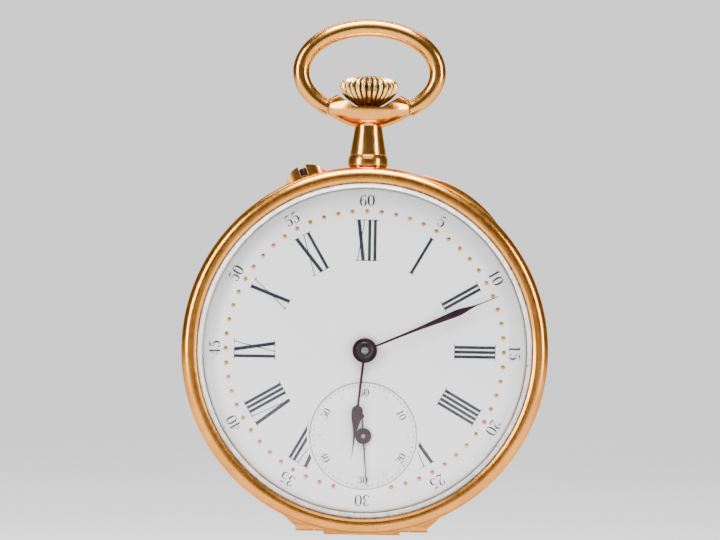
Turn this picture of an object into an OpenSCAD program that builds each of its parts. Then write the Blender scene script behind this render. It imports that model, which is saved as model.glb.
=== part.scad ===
// Open face pocket watch, 19 ligne lever movement with pin setting.
// Local frame of every module: X to 3 o'clock, Y to 12 o'clock, Z to the viewer of the dial,
// with Z = 0 on the flat of the back cover. lay() stands the watch up: 12 o'clock to +Z, dial to -Y.

/* [Case] */
// Diameter over the bezel
case_d = 48; // [47.8:0.1:48.3]
// Thickness from the back cover to the top of the crystal
case_t = 12.4; // [12.3:0.05:12.6]
// Radius of the flat of the back cover
flat_r = 10; // [9:0.5:11]
// Sheet thickness of the back cover
cover_t = 0.5; // [0.4:0.05:0.55]
// Sheet thickness of the dust cover
dust_t = 0.35; // [0.3:0.05:0.4]

/* [Bow and crown] */
// Half width of the bow's centreline
bow_a = 9.0; // [8.8:0.1:9.2]
// Half height of the bow's centreline
bow_b = 5.87; // [5.8:0.01:5.95]
// Diameter of the bow's wire
bow_wire_d = 2.15; // [2:0.05:2.3]
// Diameter of the crown
crown_d = 7.7; // [7:0.1:7.8]
// Number of flutes round the crown
crown_flutes = 28; // [24:1:30]

/* [Dial] */
// Diameter of the enamel dial
dial_d = 42.4; // [42:0.1:42.5]
// Distance from the hands' axis to the seconds axis
seconds_offset = 11.2; // [11.1:0.05:11.3]
// Diameter of the sunk seconds dial
seconds_dial_d = 14.1; // [13.8:0.1:14.2]

/* [Hands] */
// Length of the minute hand
minute_len = 19; // [17:0.5:19.5]
// Length of the hour hand
hour_len = 14; // [12:0.5:14.5]
// Length of the seconds hand
seconds_len = 6.5; // [5.5:0.1:6.6]
// Angle of the hour hand, clockwise from 12 o'clock
hour_angle = 186; // [0:1:359]
// Angle of the minute hand, clockwise from 12 o'clock
minute_angle = 67; // [0:1:359]
// Angle of the seconds hand, clockwise from 12 o'clock
seconds_angle = 175.5; // [0:0.5:359.5]

/* [Hidden] */
fine = 96;
mid = 48;
small = 24;
eps = 0.01;
run_gap = 0.05;
fit_gap = 0.02;

// Case levels and radii
bezel_r = case_d / 2;
band_r = bezel_r - 0.4;
rim_r = bezel_r - 0.3;
cover_rise = 3.2;
cover_power = 4;
band_z0 = cover_rise + run_gap;
band_z1 = 8.1;
band_in_r = bezel_r - 2.7;
step_r = bezel_r - 1.8;
step_z = 3.9;
lip_z = 8.8;
dust_gap = 0.35;
dust_wall_r = step_r - 0.1;
glass_r = bezel_r - 1.8;
glass_z = 9.95;
glass_edge = 0.35;
glass_t = 0.65;
glass_rise = 1.45;
dome_r = glass_r - 0.9;
bezel_top = 10.7;

// Hinges at 6 o'clock: distance of the axis below the centre, its level, and the tube
back_hinge_y = -bezel_r + 0.6;
back_hinge_z = 2.9;
back_tube_r = 0.75;
back_hinge_len = 20.9;
bezel_hinge_y = -bezel_r + 0.4;
bezel_hinge_z = 7.5;
bezel_tube_r = 0.6;
bezel_hinge_len = 10;
dust_hinge_y = -bezel_r + 1.9;
dust_hinge_z = 3.2;
dust_tube_r = 0.38;
dust_hinge_len = 8;
knuckles = 5;
knuckle_gap = 0.06;
relief = 0.08;

// Pendant, bow and crown, measured up the stem's axis from the centre
stem_z = 5.5;
bow_pivot_y = 31.9;
bow_centre_y = 36.55;
head_end_x = 5.42;
bow_face_x = head_end_x + 0.08;
trunnion_r = 0.55;
trunnion_in_x = 4.1;
crown_r = crown_d / 2;
neck_bore_r = 0.85;
spigot_r = 1.6;
collar_y = 25.6;

// Setting button, on the band 20 degrees to the left of the pendant
button_angle = 20;
button_r = 0.5;
button_out = 25.3;
button_in = 19.75;

// Levels of the movement
bridge_z0 = 2.7;
bridge_z1 = 3.7;
plate_z0 = 5.6;
plate_z1 = 7.6;
plate_r = 21;
bridge_r = 20.6;
seat_z = 8.7;
dial_z0 = 8.75;
dial_z1 = 9.5;
seconds_dial_z = 9.3;
deep_z = 6.3;
under_z = 7.0;
foot_in_r = 17.7;
winder_z0 = 2.2;
winder_z1 = 2.65;

// Gear teeth, in modules, and tooth widths as shares of the pitch
wheel_add = 0.9;
wheel_ded = 1.15;
leaf_add = 0.5;
leaf_ded = 1.25;
wheel_shape = [0.48, 0.18];
leaf_shape = [0.4, 0.2];
m_barrel = 0.18;
m_center = 0.17;
m_third = 0.15;
m_fourth = 0.135;
m_motion = 0.2;
m_winding = 0.25;
barrel_teeth = 80;
center_teeth = 80;
third_teeth = 75;
fourth_teeth = 80;
pinion_teeth = 10;
escape_pinion_teeth = 8;
escape_teeth = 15;
escape_r = 3.2;
minute_teeth = 30;
minute_pinion_teeth = 8;
hour_teeth = 32;
setting_teeth = 28;
crown_teeth = 32;
ratchet_teeth = 56;
winding_teeth = 20;

function polar(r, a) = [r * cos(a), r * sin(a)];
function heading(p, q) = atan2(q.y - p.y, q.x - p.x);
function centres(m, n1, n2) = m * (n1 + n2) / 2;
function apart(a, b, c) = acos((a * a + b * b - c * c) / (2 * a * b));

// Places of the arbors
center_p = [0, 0];
fourth_p = [0, -seconds_offset];
barrel_p = polar(centres(m_barrel, barrel_teeth, pinion_teeth), 145);
center_third = centres(m_center, center_teeth, pinion_teeth);
third_fourth = centres(m_third, third_teeth, pinion_teeth);
third_p = polar(center_third, -90 + apart(center_third, seconds_offset, third_fourth));
escape_p = fourth_p + polar(centres(m_fourth, fourth_teeth, escape_pinion_teeth), -123.9);
lever_angle = 132.1;
fork_dist = 3.7;
lever_len = 4.2;
fork_p = escape_p + polar(fork_dist, lever_angle);
balance_p = fork_p + polar(lever_len, lever_angle);
minute_p = [0, centres(m_motion, minute_pinion_teeth, hour_teeth)];
setting_p = minute_p + [0, centres(m_motion, minute_teeth, setting_teeth)];
winder_dist = centres(m_winding, crown_teeth, ratchet_teeth);
crown_wheel_p = [0, barrel_p.y + sqrt(winder_dist * winder_dist - barrel_p.x * barrel_p.x)];
yoke_p = [6.5, 15.5];
yoke_tab_p = polar(button_in - 0.55, 90 + button_angle);
cock_foot_p = [-17, -5.6];
click_p = barrel_p + polar(8.7, 160);
foot_screws = [polar(19.1, 52), polar(19.1, 128), polar(19.1, 4), polar(19.1, -40), polar(19.1, -75),
    cock_foot_p];
case_screw_places = [polar(20.4, 160), polar(20.4, -20)];
pallet_foot_p = fork_p + polar(3.9, 225);
dial_feet_places = [polar(18.3, 35), polar(18.3, 175), polar(18.3, 295)];

// Balance
balance_r = 7.0;
balance_rim_z = 4.2;
balance_rim_h = 0.55;
balance_screw_count = 14;
hairspring_z = 3.92;
hairspring_h = 0.16;
hairspring_r0 = 0.8;
hairspring_pitch = 0.32;
hairspring_turns = 8;
foot_heading = heading(balance_p, cock_foot_p);

// ---------------------------------------------------------------- helpers
module lay() rotate([90, 0, 0]) children();
module at(p, z = 0) translate([p.x, p.y, z]) children();
module slab(z0, z1) translate([0, 0, z0]) linear_extrude(z1 - z0) children();
module disc(r, z0, z1, n = mid) translate([0, 0, z0]) cylinder(r = r, h = z1 - z0, $fn = n);
module along_x(r, x0, x1) translate([x0, 0, 0]) rotate([0, 90, 0]) cylinder(r = r, h = x1 - x0, $fn = small);
module along_y(r, y0, y1)
    translate([0, y0, stem_z]) rotate([-90, 0, 0]) cylinder(r = r, h = y1 - y0, $fn = mid);
module hinge_line(y, z) translate([0, y, z]) children();
module to_button() rotate([0, 0, button_angle]) children();

// Straight bar with round ends between two points
module bar2d(p, q, w) {
    translate([p.x, p.y]) circle(d = w, $fn = mid);
    translate([q.x, q.y]) circle(d = w, $fn = mid);
    translate([p.x, p.y]) rotate(heading(p, q)) translate([0, -w / 2]) square([norm(q - p), w]);
}

// Wheel or pinion outline with tooth number 0 on the X axis; shape holds root and tip widths
module gear2d(n, m, add, ded, shape) {
    pitch = 360 / n;
    sides = [-shape[0], -shape[1], shape[1], shape[0]] * pitch / 2;
    radii = [-ded, add, add, -ded] * m + [1, 1, 1, 1] * n * m / 2;
    polygon([for (i = [0 : n - 1], k = [0 : 3]) polar(radii[k], i * pitch + sides[k])]);
}
module wheel2d(n, m) gear2d(n, m, wheel_add, wheel_ded, wheel_shape);
module leaves2d(n, m) gear2d(n, m, leaf_add, leaf_ded, leaf_shape);

// Wheel with five spokes, turned so that a tooth faces the heading
module spoked_wheel(n, m, z0, z1, face, hub_r) {
    rim_in = n * m / 2 - 3.6 * m - 0.25;
    slab(z0, z1) {
        difference() {
            rotate(face) wheel2d(n, m);
            circle(r = rim_in, $fn = mid);
        }
        circle(r = hub_r, $fn = mid);
        for (k = [0 : 4]) rotate(k * 72 + 18) translate([0, -0.25]) square([rim_in + 0.05, 0.5]);
    }
}
// Pinion turned so that a gap faces the heading
module pinion(n, m, z0, z1, face) slab(z0, z1) rotate(face + 180 / n) leaves2d(n, m);
// Arbor with a shoulder and a fine pivot at each end
module arbor(z0, z1, r = 0.3, pivot_r = 0.13, pivot = 0.5) {
    disc(r, z0 + pivot, z1 - pivot, small);
    disc(pivot_r, z0, z1, small);
}
// Slotted screw whose head faces -Z
module screw(p, z, head_r, head_h, shank_r, len) at(p) difference() {
    union() {
        disc(head_r, z, z + head_h, small);
        disc(shank_r, z + head_h - eps, z + head_h + len, small);
    }
    translate([-head_r, -0.1, z - eps]) cube([2 * head_r, 0.2, 0.2]);
}
// Flat spiral strip
module spiral2d(r0, pitch, turns, w, steps = 20) {
    n = turns * steps;
    outer = [for (i = [0 : n]) polar(r0 + w / 2 + pitch * i / steps, 360 * i / steps)];
    inner = [for (i = [n : -1 : 0]) polar(r0 - w / 2 + pitch * i / steps, 360 * i / steps)];
    polygon(concat(outer, inner));
}
// One set of hinge knuckles: the case has numbers 0, 2, 4 and the lid 1, 3
module knuckle_set(len, r, first) {
    step = len / knuckles;
    for (k = [first : 2 : knuckles - 1])
        along_x(r, -len / 2 + k * step + knuckle_gap / 2, -len / 2 + (k + 1) * step - knuckle_gap / 2);
}
// Room for the other leaf's knuckles
module knuckle_room(len, r, first) {
    step = len / knuckles;
    for (k = [first : 2 : knuckles - 1])
        along_x(r + relief, -len / 2 + k * step - knuckle_gap / 2, -len / 2 + (k + 1) * step + knuckle_gap / 2);
}

// Slanting cut at each end of the back cover's hinge
module hinge_ends() for (s = [0, 1]) mirror([s, 0, 0]) slab(0, band_z1 - 1)
    polygon([[10.7, -21.8], [8.8, -23.5], [8.6, -26], [13, -26], [13, -21.8]]);

// ---------------------------------------------------------------- case
function cover_z(r) = r <= flat_r ? 0 : cover_rise * pow((r - flat_r) / (rim_r - flat_r), cover_power);
cover_radii = [0, flat_r, 13.5, 16, 18, 19.8, 21.2, 22.3];
dust_radii = [0, flat_r, 13.5, 16, 18, 19.8, 21.2];

module case_middle() color("goldenrod") lay() difference() {
    union() {
        rotate_extrude($fn = fine) polygon([
            [step_r, band_z0], [band_r - 0.1, band_z0], [band_r, band_z0 + 0.5], [band_r, band_z1 - 0.5],
            [band_r - 0.1, band_z1], [step_r + 0.17, band_z1], [step_r + 0.17, lip_z],
            [band_in_r + 0.05, lip_z], [band_in_r + 0.05, band_z1], [band_in_r, band_z1],
            [band_in_r, step_z], [step_r, step_z]]);
        // web and knuckles of the back cover's hinge
        translate([-back_hinge_len / 2, back_hinge_y, band_z0])
            cube([back_hinge_len, 3.4, back_hinge_z + back_tube_r - band_z0]);
        hinge_line(back_hinge_y, back_hinge_z) knuckle_set(back_hinge_len, back_tube_r, 0);
        hinge_line(bezel_hinge_y, bezel_hinge_z) knuckle_set(bezel_hinge_len, bezel_tube_r, 0);
        hinge_line(dust_hinge_y, dust_hinge_z) knuckle_set(dust_hinge_len, dust_tube_r, 0);
    }
    // opening for the movement, kept clear of the webs
    disc(band_in_r, step_z - eps, lip_z + 1, fine);
    difference() {
        disc(step_r, 0, step_z, fine);
        hinge_line(dust_hinge_y, dust_hinge_z) knuckle_set(dust_hinge_len, dust_tube_r, 0);
    }
    hinge_line(back_hinge_y, back_hinge_z) knuckle_room(back_hinge_len, back_tube_r, 1);
    hinge_ends();
    hinge_line(bezel_hinge_y, bezel_hinge_z) knuckle_room(bezel_hinge_len, bezel_tube_r, 1);
    hinge_line(dust_hinge_y, dust_hinge_z) knuckle_room(dust_hinge_len, dust_tube_r, 1);
    hinge_line(back_hinge_y, back_hinge_z) along_x(0.4, -back_hinge_len / 2 - 1, back_hinge_len / 2 + 1);
    hinge_line(bezel_hinge_y, bezel_hinge_z) along_x(0.27, -bezel_hinge_len / 2 - 1, bezel_hinge_len / 2 + 1);
    hinge_line(dust_hinge_y, dust_hinge_z) along_x(0.17, -dust_hinge_len / 2 - 1, dust_hinge_len / 2 + 1);
    along_y(spigot_r + fit_gap, 15, bezel_r + 1);
    to_button() along_y(button_r + run_gap, 15, bezel_r + 1);
}

module bezel() color("goldenrod") lay() difference() {
    union() {
        rotate_extrude($fn = fine) polygon(concat(
            [[step_r + 0.22, band_z1 + run_gap], [bezel_r - 0.3, band_z1 + run_gap], [bezel_r, 8.6]],
            [for (a = [0 : 10 : 90]) [bezel_r - 1.2 + 1.2 * cos(a), bezel_top - 1.4 + 1.4 * sin(a)]],
            [[glass_r - 0.25, bezel_top - 0.25], [glass_r - 0.25, glass_z + 0.4], [glass_r + 0.05, glass_z + 0.4],
            [glass_r + 0.05, glass_z - 0.05], [glass_r - 0.45, glass_z - 0.05], [glass_r - 0.45, lip_z + 0.05],
            [step_r + 0.22, lip_z + 0.05]]));
        hinge_line(bezel_hinge_y, bezel_hinge_z) knuckle_set(bezel_hinge_len, bezel_tube_r, 1);
        // web from the knuckles to the rim
        difference() {
            translate([-bezel_hinge_len / 2, bezel_hinge_y - bezel_tube_r, bezel_hinge_z + 0.1])
                cube([bezel_hinge_len, bezel_tube_r, 0.7]);
            disc(band_r + run_gap, 0, band_z1 + run_gap, fine);
        }
    }
    hinge_line(bezel_hinge_y, bezel_hinge_z) knuckle_room(bezel_hinge_len, bezel_tube_r, 0);
    hinge_line(bezel_hinge_y, bezel_hinge_z) along_x(0.27, -bezel_hinge_len / 2 - 1, bezel_hinge_len / 2 + 1);
}

module crystal() color("lightcyan", 0.3) lay() rotate_extrude($fn = fine) polygon(concat(
    [[glass_r, glass_z], [glass_r, glass_z + glass_edge], [glass_r - 0.32, glass_z + glass_edge]],
    [for (k = [10 : -1 : 0]) [dome_r * k / 10, case_t - glass_rise * pow(k / 10, 2)]],
    [for (k = [0 : 10]) [(dome_r - 0.4) * k / 10, case_t - glass_t - glass_rise * pow(k * 0.098, 2)]],
    [[dome_r + 0.2, glass_z]]));

module back_cover() color("goldenrod") lay() difference() {
    union() {
        rotate_extrude($fn = fine) polygon(concat(
            [for (r = cover_radii) [r, cover_z(r)]], [[rim_r, cover_rise]], [[rim_r - 0.6, cover_rise]],
            [for (k = [len(cover_radii) - 1 : -1 : 0]) [cover_radii[k], cover_z(cover_radii[k]) + cover_t]]));
        // thumb lip to lift the cover by
        difference() {
            rotate([0, 0, 90 - 31]) translate([8.66, 0, cover_rise - 0.7])
                cylinder(r = bezel_r - 8, h = 0.65, $fn = fine);
            disc(rim_r - 0.5, 0, cover_rise + 1, fine);
        }
        difference() {
            translate([-back_hinge_len / 2, back_hinge_y, cover_rise - 0.8]) cube([back_hinge_len, 3.4, 0.75]);
            disc(rim_r - 0.5, 0, cover_rise + 1, fine);
        }
        hinge_line(back_hinge_y, back_hinge_z) knuckle_set(back_hinge_len, back_tube_r, 1);
    }
    hinge_line(back_hinge_y, back_hinge_z) knuckle_room(back_hinge_len, back_tube_r, 0);
    hinge_ends();
    hinge_line(back_hinge_y, back_hinge_z) along_x(0.4, -back_hinge_len / 2 - 1, back_hinge_len / 2 + 1);
    hinge_line(dust_hinge_y, dust_hinge_z)
        along_x(dust_tube_r + relief, -dust_hinge_len / 2 - 0.2, dust_hinge_len / 2 + 0.2);
}

module dust_cover() color("khaki") lay() difference() {
    union() {
        rotate_extrude($fn = fine) polygon(concat(
            [for (r = dust_radii) [r, cover_z(r) + cover_t + dust_gap]],
            [[dust_wall_r, 2.85], [dust_wall_r, step_z - 0.2], [dust_wall_r - 0.35, step_z - 0.2]],
            [[dust_wall_r - 0.35, 3.1]],
            [for (k = [len(dust_radii) - 1 : -1 : 0])
                [dust_radii[k], cover_z(dust_radii[k]) + cover_t + dust_gap + dust_t]]));
        hinge_line(dust_hinge_y, dust_hinge_z) knuckle_set(dust_hinge_len, dust_tube_r, 1);
    }
    hinge_line(dust_hinge_y, dust_hinge_z) knuckle_room(dust_hinge_len, dust_tube_r, 0);
    hinge_line(dust_hinge_y, dust_hinge_z) along_x(0.17, -dust_hinge_len / 2 - 1, dust_hinge_len / 2 + 1);
}

module hinge_pin(y, z, r, len) color("tan") lay() hinge_line(y, z) along_x(r, -len / 2 + 0.1, len / 2 - 0.1);
module back_hinge_pin() hinge_pin(back_hinge_y, back_hinge_z, 0.35, 17.4);
module bezel_hinge_pin() hinge_pin(bezel_hinge_y, bezel_hinge_z, 0.22, bezel_hinge_len);
module dust_hinge_pin() hinge_pin(dust_hinge_y, dust_hinge_z, 0.13, dust_hinge_len);

// ---------------------------------------------------------------- pendant, bow, crown, button
// Head of the pendant: radius and distance from the middle, from each end inward
head_profile = [[0.85, head_end_x], [1.05, head_end_x - 0.12], [1.3, 4.9], [1.68, 4.2], [2.1, 3.3], [2.5, 2.2],
    [2.75, 1.2], [2.85, 0]];
module pendant() color("goldenrod") lay() difference() {
    union() {
        // head turned about the bow's axis
        translate([0, bow_pivot_y, stem_z]) rotate([0, 90, 0]) rotate_extrude($fn = mid) polygon(concat(
            [[0, -head_end_x]], [for (k = [0 : 6]) [head_profile[k][0], -head_profile[k][1]]],
            [for (k = [7 : -1 : 0]) head_profile[k]], [[0, head_end_x]]));
        // neck, with its spigot through the band
        translate([0, 0, stem_z]) rotate([-90, 0, 0]) rotate_extrude($fn = mid) polygon([
            [0, 21.6], [spigot_r, 21.6], [spigot_r, collar_y + 0.05], [2.4, collar_y + 0.05],
            [2.3, 26.2], [1.8, 29.2], [1.85, 29.7], [2.2, 30.6], [0, 31.2]]);
    }
    along_y(neck_bore_r, 20, 35);
    // notch from front to back, in which the crown sits
    slab(0, case_t)
        polygon([[-1.75, 31.95], [1.75, 31.95], [4.25, 33.55], [4.25, 37.5], [-4.25, 37.5], [-4.25, 33.55]]);
    for (s = [-1, 1]) translate([0, bow_pivot_y, stem_z])
        mirror([s < 0 ? 1 : 0, 0, 0]) along_x(trunnion_r + run_gap, trunnion_in_x - 0.1, head_end_x + 1);
}

module pendant_collar() color("goldenrod") lay() difference() {
    translate([0, 0, stem_z]) rotate([-90, 0, 0]) rotate_extrude($fn = mid) polygon([
        [spigot_r + fit_gap, 22.5], [2.45, 22.5], [2.45, 24.0], [2.6, 24.3], [2.6, 25.1],
        [2.4, collar_y], [spigot_r + fit_gap, collar_y]]);
    disc(band_r + fit_gap, 0, case_t, fine);
}

// Bow: a round wire swept along an ellipse, flat where it faces the pendant's ends
bow_rings = 60;
bow_sides = 16;
bow_end_t = acos(bow_face_x / bow_a);
function bow_t(i) = -bow_end_t + (180 + 2 * bow_end_t) * i / bow_rings;
function bow_normal(t) = [bow_b * cos(t), bow_a * sin(t)] / norm([bow_b * cos(t), bow_a * sin(t)]);
function bow_across(i) = i == 0 || i == bow_rings ? [0, 1 / bow_normal(bow_t(i)).y] : bow_normal(bow_t(i));
function bow_point(i, k) =
    let (t = bow_t(i), r = bow_wire_d / 2 + 0.05 * sin(t), n = bow_across(i), f = 360 * k / bow_sides)
    [bow_a * cos(t) + r * n.x * cos(f), bow_b * sin(t) + r * n.y * cos(f), r * sin(f)];
module bow() color("goldenrod") lay() {
    last = bow_rings * bow_sides;
    translate([0, bow_centre_y, stem_z]) polyhedron(
        points = [for (i = [0 : bow_rings], k = [0 : bow_sides - 1]) bow_point(i, k)],
        faces = concat(
            [for (i = [0 : bow_rings - 1], k = [0 : bow_sides - 1]) let (a = i * bow_sides, n = (k + 1) % bow_sides)
                [a + k, a + n, a + bow_sides + n, a + bow_sides + k]],
            [[for (k = [bow_sides - 1 : -1 : 0]) k]], [[for (k = [0 : bow_sides - 1]) last + k]]));
    for (s = [0, 1]) mirror([s, 0, 0])
        translate([0, bow_pivot_y, stem_z]) along_x(trunnion_r, trunnion_in_x, bow_face_x + 0.5);
}

module crown() color("goldenrod") lay() difference() {
    translate([0, 0, stem_z]) rotate([-90, 0, 0]) rotate_extrude($fn = mid) polygon([
        [0.8, 32.05], [1.45, 32.05], [2.05, 32.4], [2.9, 33.0], [crown_r - 0.4, 33.55], [crown_r - 0.1, 34.1],
        [crown_r, 34.5], [crown_r - 0.1, 35.0], [crown_r - 0.45, 35.5], [2.7, 35.85], [1.3, 36.05], [0, 36.1],
        [0, 34.3], [0.8, 34.3]]);
    for (k = [0 : crown_flutes - 1]) translate([0, 0, stem_z]) rotate([0, 360 / crown_flutes * k, 0])
        translate([crown_r + 0.12, 32, 0]) rotate([-90, 0, 0]) cylinder(r = 0.3, h = 4, $fn = small);
}

module button_guard() color("goldenrod") lay() to_button() {
    guard_w = 5.9;
    guard_h = 2.05;
    guard_depth = 3.5;
    segment_r = (guard_w * guard_w / 4 + guard_h * guard_h) / (2 * guard_h);
    difference() {
        intersection() {
            translate([0, band_r + guard_h - segment_r, 0]) disc(segment_r, 0, case_t, fine);
            translate([0, bezel_r + 3, stem_z]) rotate([90, 0, 0])
                linear_extrude(6)
                    bar2d([-(guard_w - guard_depth) / 2, 0], [(guard_w - guard_depth) / 2, 0], guard_depth);
        }
        disc(band_r + fit_gap, 0, case_t, fine);
        translate([-0.62, band_r + 0.65, 0]) cube([1.24, 3, case_t]);
        along_y(button_r + run_gap, 20, bezel_r + 3);
    }
}

module setting_button() color("dimgray") lay() to_button() {
    along_y(button_r, button_in, button_out - 0.15);
    along_y(button_r - 0.12, button_out - 0.15 - eps, button_out);
}

// ---------------------------------------------------------------- dial and hands
module dial() color("white") lay() difference() {
    disc(dial_d / 2, dial_z0, dial_z1, fine);
    disc(1.05, dial_z0 - 1, dial_z1 + 1);
    at(fourth_p) disc(seconds_dial_d / 2 + fit_gap, dial_z0 - 1, dial_z1 + 1, fine);
}
module seconds_dial() color("white") lay() at(fourth_p) difference() {
    disc(seconds_dial_d / 2, dial_z0, seconds_dial_z, fine);
    disc(0.35, dial_z0 - 1, dial_z1, small);
}
module dial_feet() color("peru") lay() for (p = dial_feet_places) at(p) disc(0.5, 6.4, dial_z0, small);

// Half outline of a hand as [distance along, half width], closed on both sides
module blade2d(edge) polygon(concat([for (e = edge) [e[1], e[0]]],
    [for (k = [len(edge) - 1 : -1 : 0]) [-edge[k][1], edge[k][0]]]));

module minute_hand() color("midnightblue") lay() rotate([0, 0, -minute_angle]) {
    slab(10.2, 10.38) difference() {
        union() {
            circle(r = 1.63, $fn = mid);
            blade2d([[0, 0.14], [2, 0.14], [7, 0.2], [10, 0.33], [12.75, 0.45], [13.7, 0.4], [14.8, 0.22],
                [16, 0.09], [minute_len - 0.4, 0.06], [minute_len, 0.02]]);
        }
        circle(r = 0.47, $fn = small);
    }
    difference() {
        disc(1.1, 10.35, 10.6);
        disc(0.47, 10, 11, small);
    }
}
module hour_hand() color("midnightblue") lay() rotate([0, 0, -hour_angle]) slab(9.8, 9.95) difference() {
    union() {
        circle(r = 1.6, $fn = mid);
        blade2d([[0, 0.175], [7, 0.175], [7.45, 0.4]]);
        translate([0, 8]) circle(r = 0.76, $fn = mid);
        blade2d([[8.2, 0.75], [9.2, 0.6], [10.3, 0.32], [11.4, 0.14], [hour_len, 0.03]]);
    }
    circle(r = 0.97, $fn = mid);
}
module seconds_hand() color("midnightblue") lay() at(fourth_p) rotate([0, 0, -seconds_angle]) difference() {
    union() {
        slab(9.45, 9.57) {
            blade2d([[-2.6, 0.09], [0, 0.12], [seconds_len, 0.05]]);
            translate([0, -2.6]) circle(r = 0.31, $fn = small);
        }
        disc(1.05, 9.42, 9.68);
    }
    disc(0.27, 9, 10, small);
}

// ---------------------------------------------------------------- plates and bridges
module winding_room() {
    along_y(2.15, 12.6, 16.5);
    along_y(2.62, 16.45, 17.95);
    along_y(0.8, 17.9, 22);
    to_button() along_y(button_r + 0.12, 18, 22);
    to_button() translate([-1.4, 16.2, 4.9]) cube([2.8, 3.9, 4]);
}
module jewel_room(p, z0, z1, r = 0.6) at(p) disc(r + fit_gap, z0, z1, small);

module main_plate() color("gold") lay() difference() {
    union() {
        disc(plate_r, plate_z0, plate_z1, fine);
        difference() {
            disc(plate_r, plate_z1 - eps, seat_z, fine);
            disc(19.6, plate_z0, seat_z + 1, fine);
        }
        // blocks that carry the stem
        translate([-1.6, 10.6, 4.6]) cube([3.2, 1.7, plate_z0 - 4.5]);
        at(minute_p) disc(0.3, under_z - 0.1, 8.4, small);
        at(setting_p) disc(0.5, under_z - 0.1, 7.6, small);
        at(yoke_p) disc(0.5, plate_z1 - eps, 8.1, small);
    }
    // pockets towards the back
    at(barrel_p) disc(7.65, 3, 5.9, fine);
    disc(7.15, 3, deep_z, fine);
    at(third_p) disc(6, 3, 5.75, fine);
    at(third_p) disc(1.3, 3, deep_z);
    at(fourth_p) disc(1.3, 3, 5.95);
    at(escape_p) disc(3.6, 3, deep_z);
    at(fork_p) disc(2.4, 3, deep_z);
    at(balance_p) disc(1.7, 3, deep_z);
    slab(3, deep_z) bar2d(fork_p, balance_p, 2.6);
    // pockets under the dial
    difference() {
        slab(under_z, 9) {
            circle(r = 1.45, $fn = mid);
            translate(minute_p) circle(r = 3.35, $fn = mid);
            translate(setting_p) circle(r = 3.15, $fn = mid);
        }
        at(minute_p) disc(0.3, 5, 9, small);
        at(setting_p) disc(0.5, 5, 9, small);
    }
    winding_room();
    along_y(0.45, 9.8, 13);
    disc(0.42, 3, 9, small);
    at(barrel_p) disc(1.06, 3, 6.5, small);
    for (p = [third_p, escape_p, fork_p, balance_p]) jewel_room(p, 6, 6.9);
    jewel_room(fourth_p, 5.9, 6.5);
    at(fourth_p) disc(0.35, 3, 9, small);
    for (p = foot_screws) at(p) disc(0.42, 3, 6.9, small);
    for (p = case_screw_places) at(p) disc(0.42, 3, 6.9, small);
    at(pallet_foot_p) disc(0.32, 3, 6.6, small);
    for (p = dial_feet_places) at(p) disc(0.56, 6.3, 9, small);
}

// Sector of the plane between two angles
module sector2d(a0, a1) polygon(concat([[0, 0]], [for (k = [0 : 12]) polar(30, a0 + (a1 - a0) * k / 12)]));
// Bridge with a foot along the rim, and counterbored screws
module bridge(screws, foot_a0, foot_a1) difference() {
    slab(bridge_z0, plate_z0) children();
    // room for the train, everywhere but at the foot
    slab(bridge_z1, plate_z0 + 1) difference() {
        circle(r = bezel_r, $fn = fine);
        difference() {
            sector2d(foot_a0, foot_a1);
            circle(r = foot_in_r, $fn = fine);
        }
    }
    for (p = screws) at(p) {
        disc(0.8, 0, 3.0, small);
        disc(0.45, 0, 7, small);
    }
    for (p = case_screw_places) at(p) disc(1.35, 0, 7, small);
}

module barrel_bridge() color("gold") lay() difference() {
    bridge([for (k = [0 : 2]) foot_screws[k]], -5, 185) intersection() {
        circle(r = bridge_r, $fn = fine);
        translate([-bezel_r, -1.8]) square([case_d, bezel_r + 1.8]);
    }
    // run of the crown wheel's upright teeth
    at(crown_wheel_p) difference() {
        disc(4.2, 0, 3.5);
        disc(3.1, 0, 4);
    }
    at(crown_wheel_p) disc(0.62, 0, 4, small);
    at(barrel_p) disc(1.06, 0, 4, small);
    jewel_room(center_p, 0, 3.4);
    disc(0.35, 0, 4, small);
    at(click_p) disc(0.42, 0, 3.4, small);
    winding_room();
}

module train_bridge() color("gold") lay() difference() {
    bridge([foot_screws[3], foot_screws[4]], -88, -8) difference() {
        intersection() {
            circle(r = bridge_r, $fn = fine);
            translate([-5.4, -bezel_r]) square([bezel_r + 5.4, bezel_r - 2.3]);
        }
        translate(balance_p) circle(r = 7.2, $fn = fine);
    }
    for (p = [third_p, fourth_p, escape_p]) {
        jewel_room(p, 0, 3.3);
        at(p) disc(0.35, 0, 4, small);
    }
}

module pallet_cock() color("gold") lay() difference() {
    slab(5.0, plate_z0) union() {
        bar2d(fork_p, pallet_foot_p, 1.1);
        translate(pallet_foot_p) circle(r = 1.1, $fn = mid);
    }
    jewel_room(fork_p, 4, 5.35, 0.35);
    at(fork_p) disc(0.2, 4, 6, small);
    at(pallet_foot_p) disc(0.34, 4, 6, small);
}

module balance_cock() color("gold") lay() difference() {
    slab(bridge_z0, plate_z0) {
        translate(balance_p) circle(r = 1.9, $fn = mid);
        bar2d(balance_p, cock_foot_p, 3.2);
        intersection() {
            translate(cock_foot_p) circle(r = 2.7, $fn = mid);
            circle(r = bridge_r, $fn = fine);
        }
    }
    at(balance_p) disc(7.6, bridge_z1, plate_z0 + 1, fine);
    jewel_room(balance_p, 0, 3.3);
    at(balance_p) disc(0.35, 0, 4, small);
    at(cock_foot_p) {
        disc(0.8, 0, 3.0, small);
        disc(0.45, 0, 7, small);
    }
}

module bridge_screws() color("steelblue") lay() for (p = foot_screws) screw(p, 2.5, 0.75, 0.5, 0.4, 3.6);
module pallet_screw() color("steelblue") lay() screw(pallet_foot_p, 4.8, 0.6, 0.2 - eps, 0.3, 1.4);
module case_screws() color("steelblue") lay() for (p = case_screw_places) screw(p, 3.4, 1.2, 0.45, 0.4, 2.8);

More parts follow.
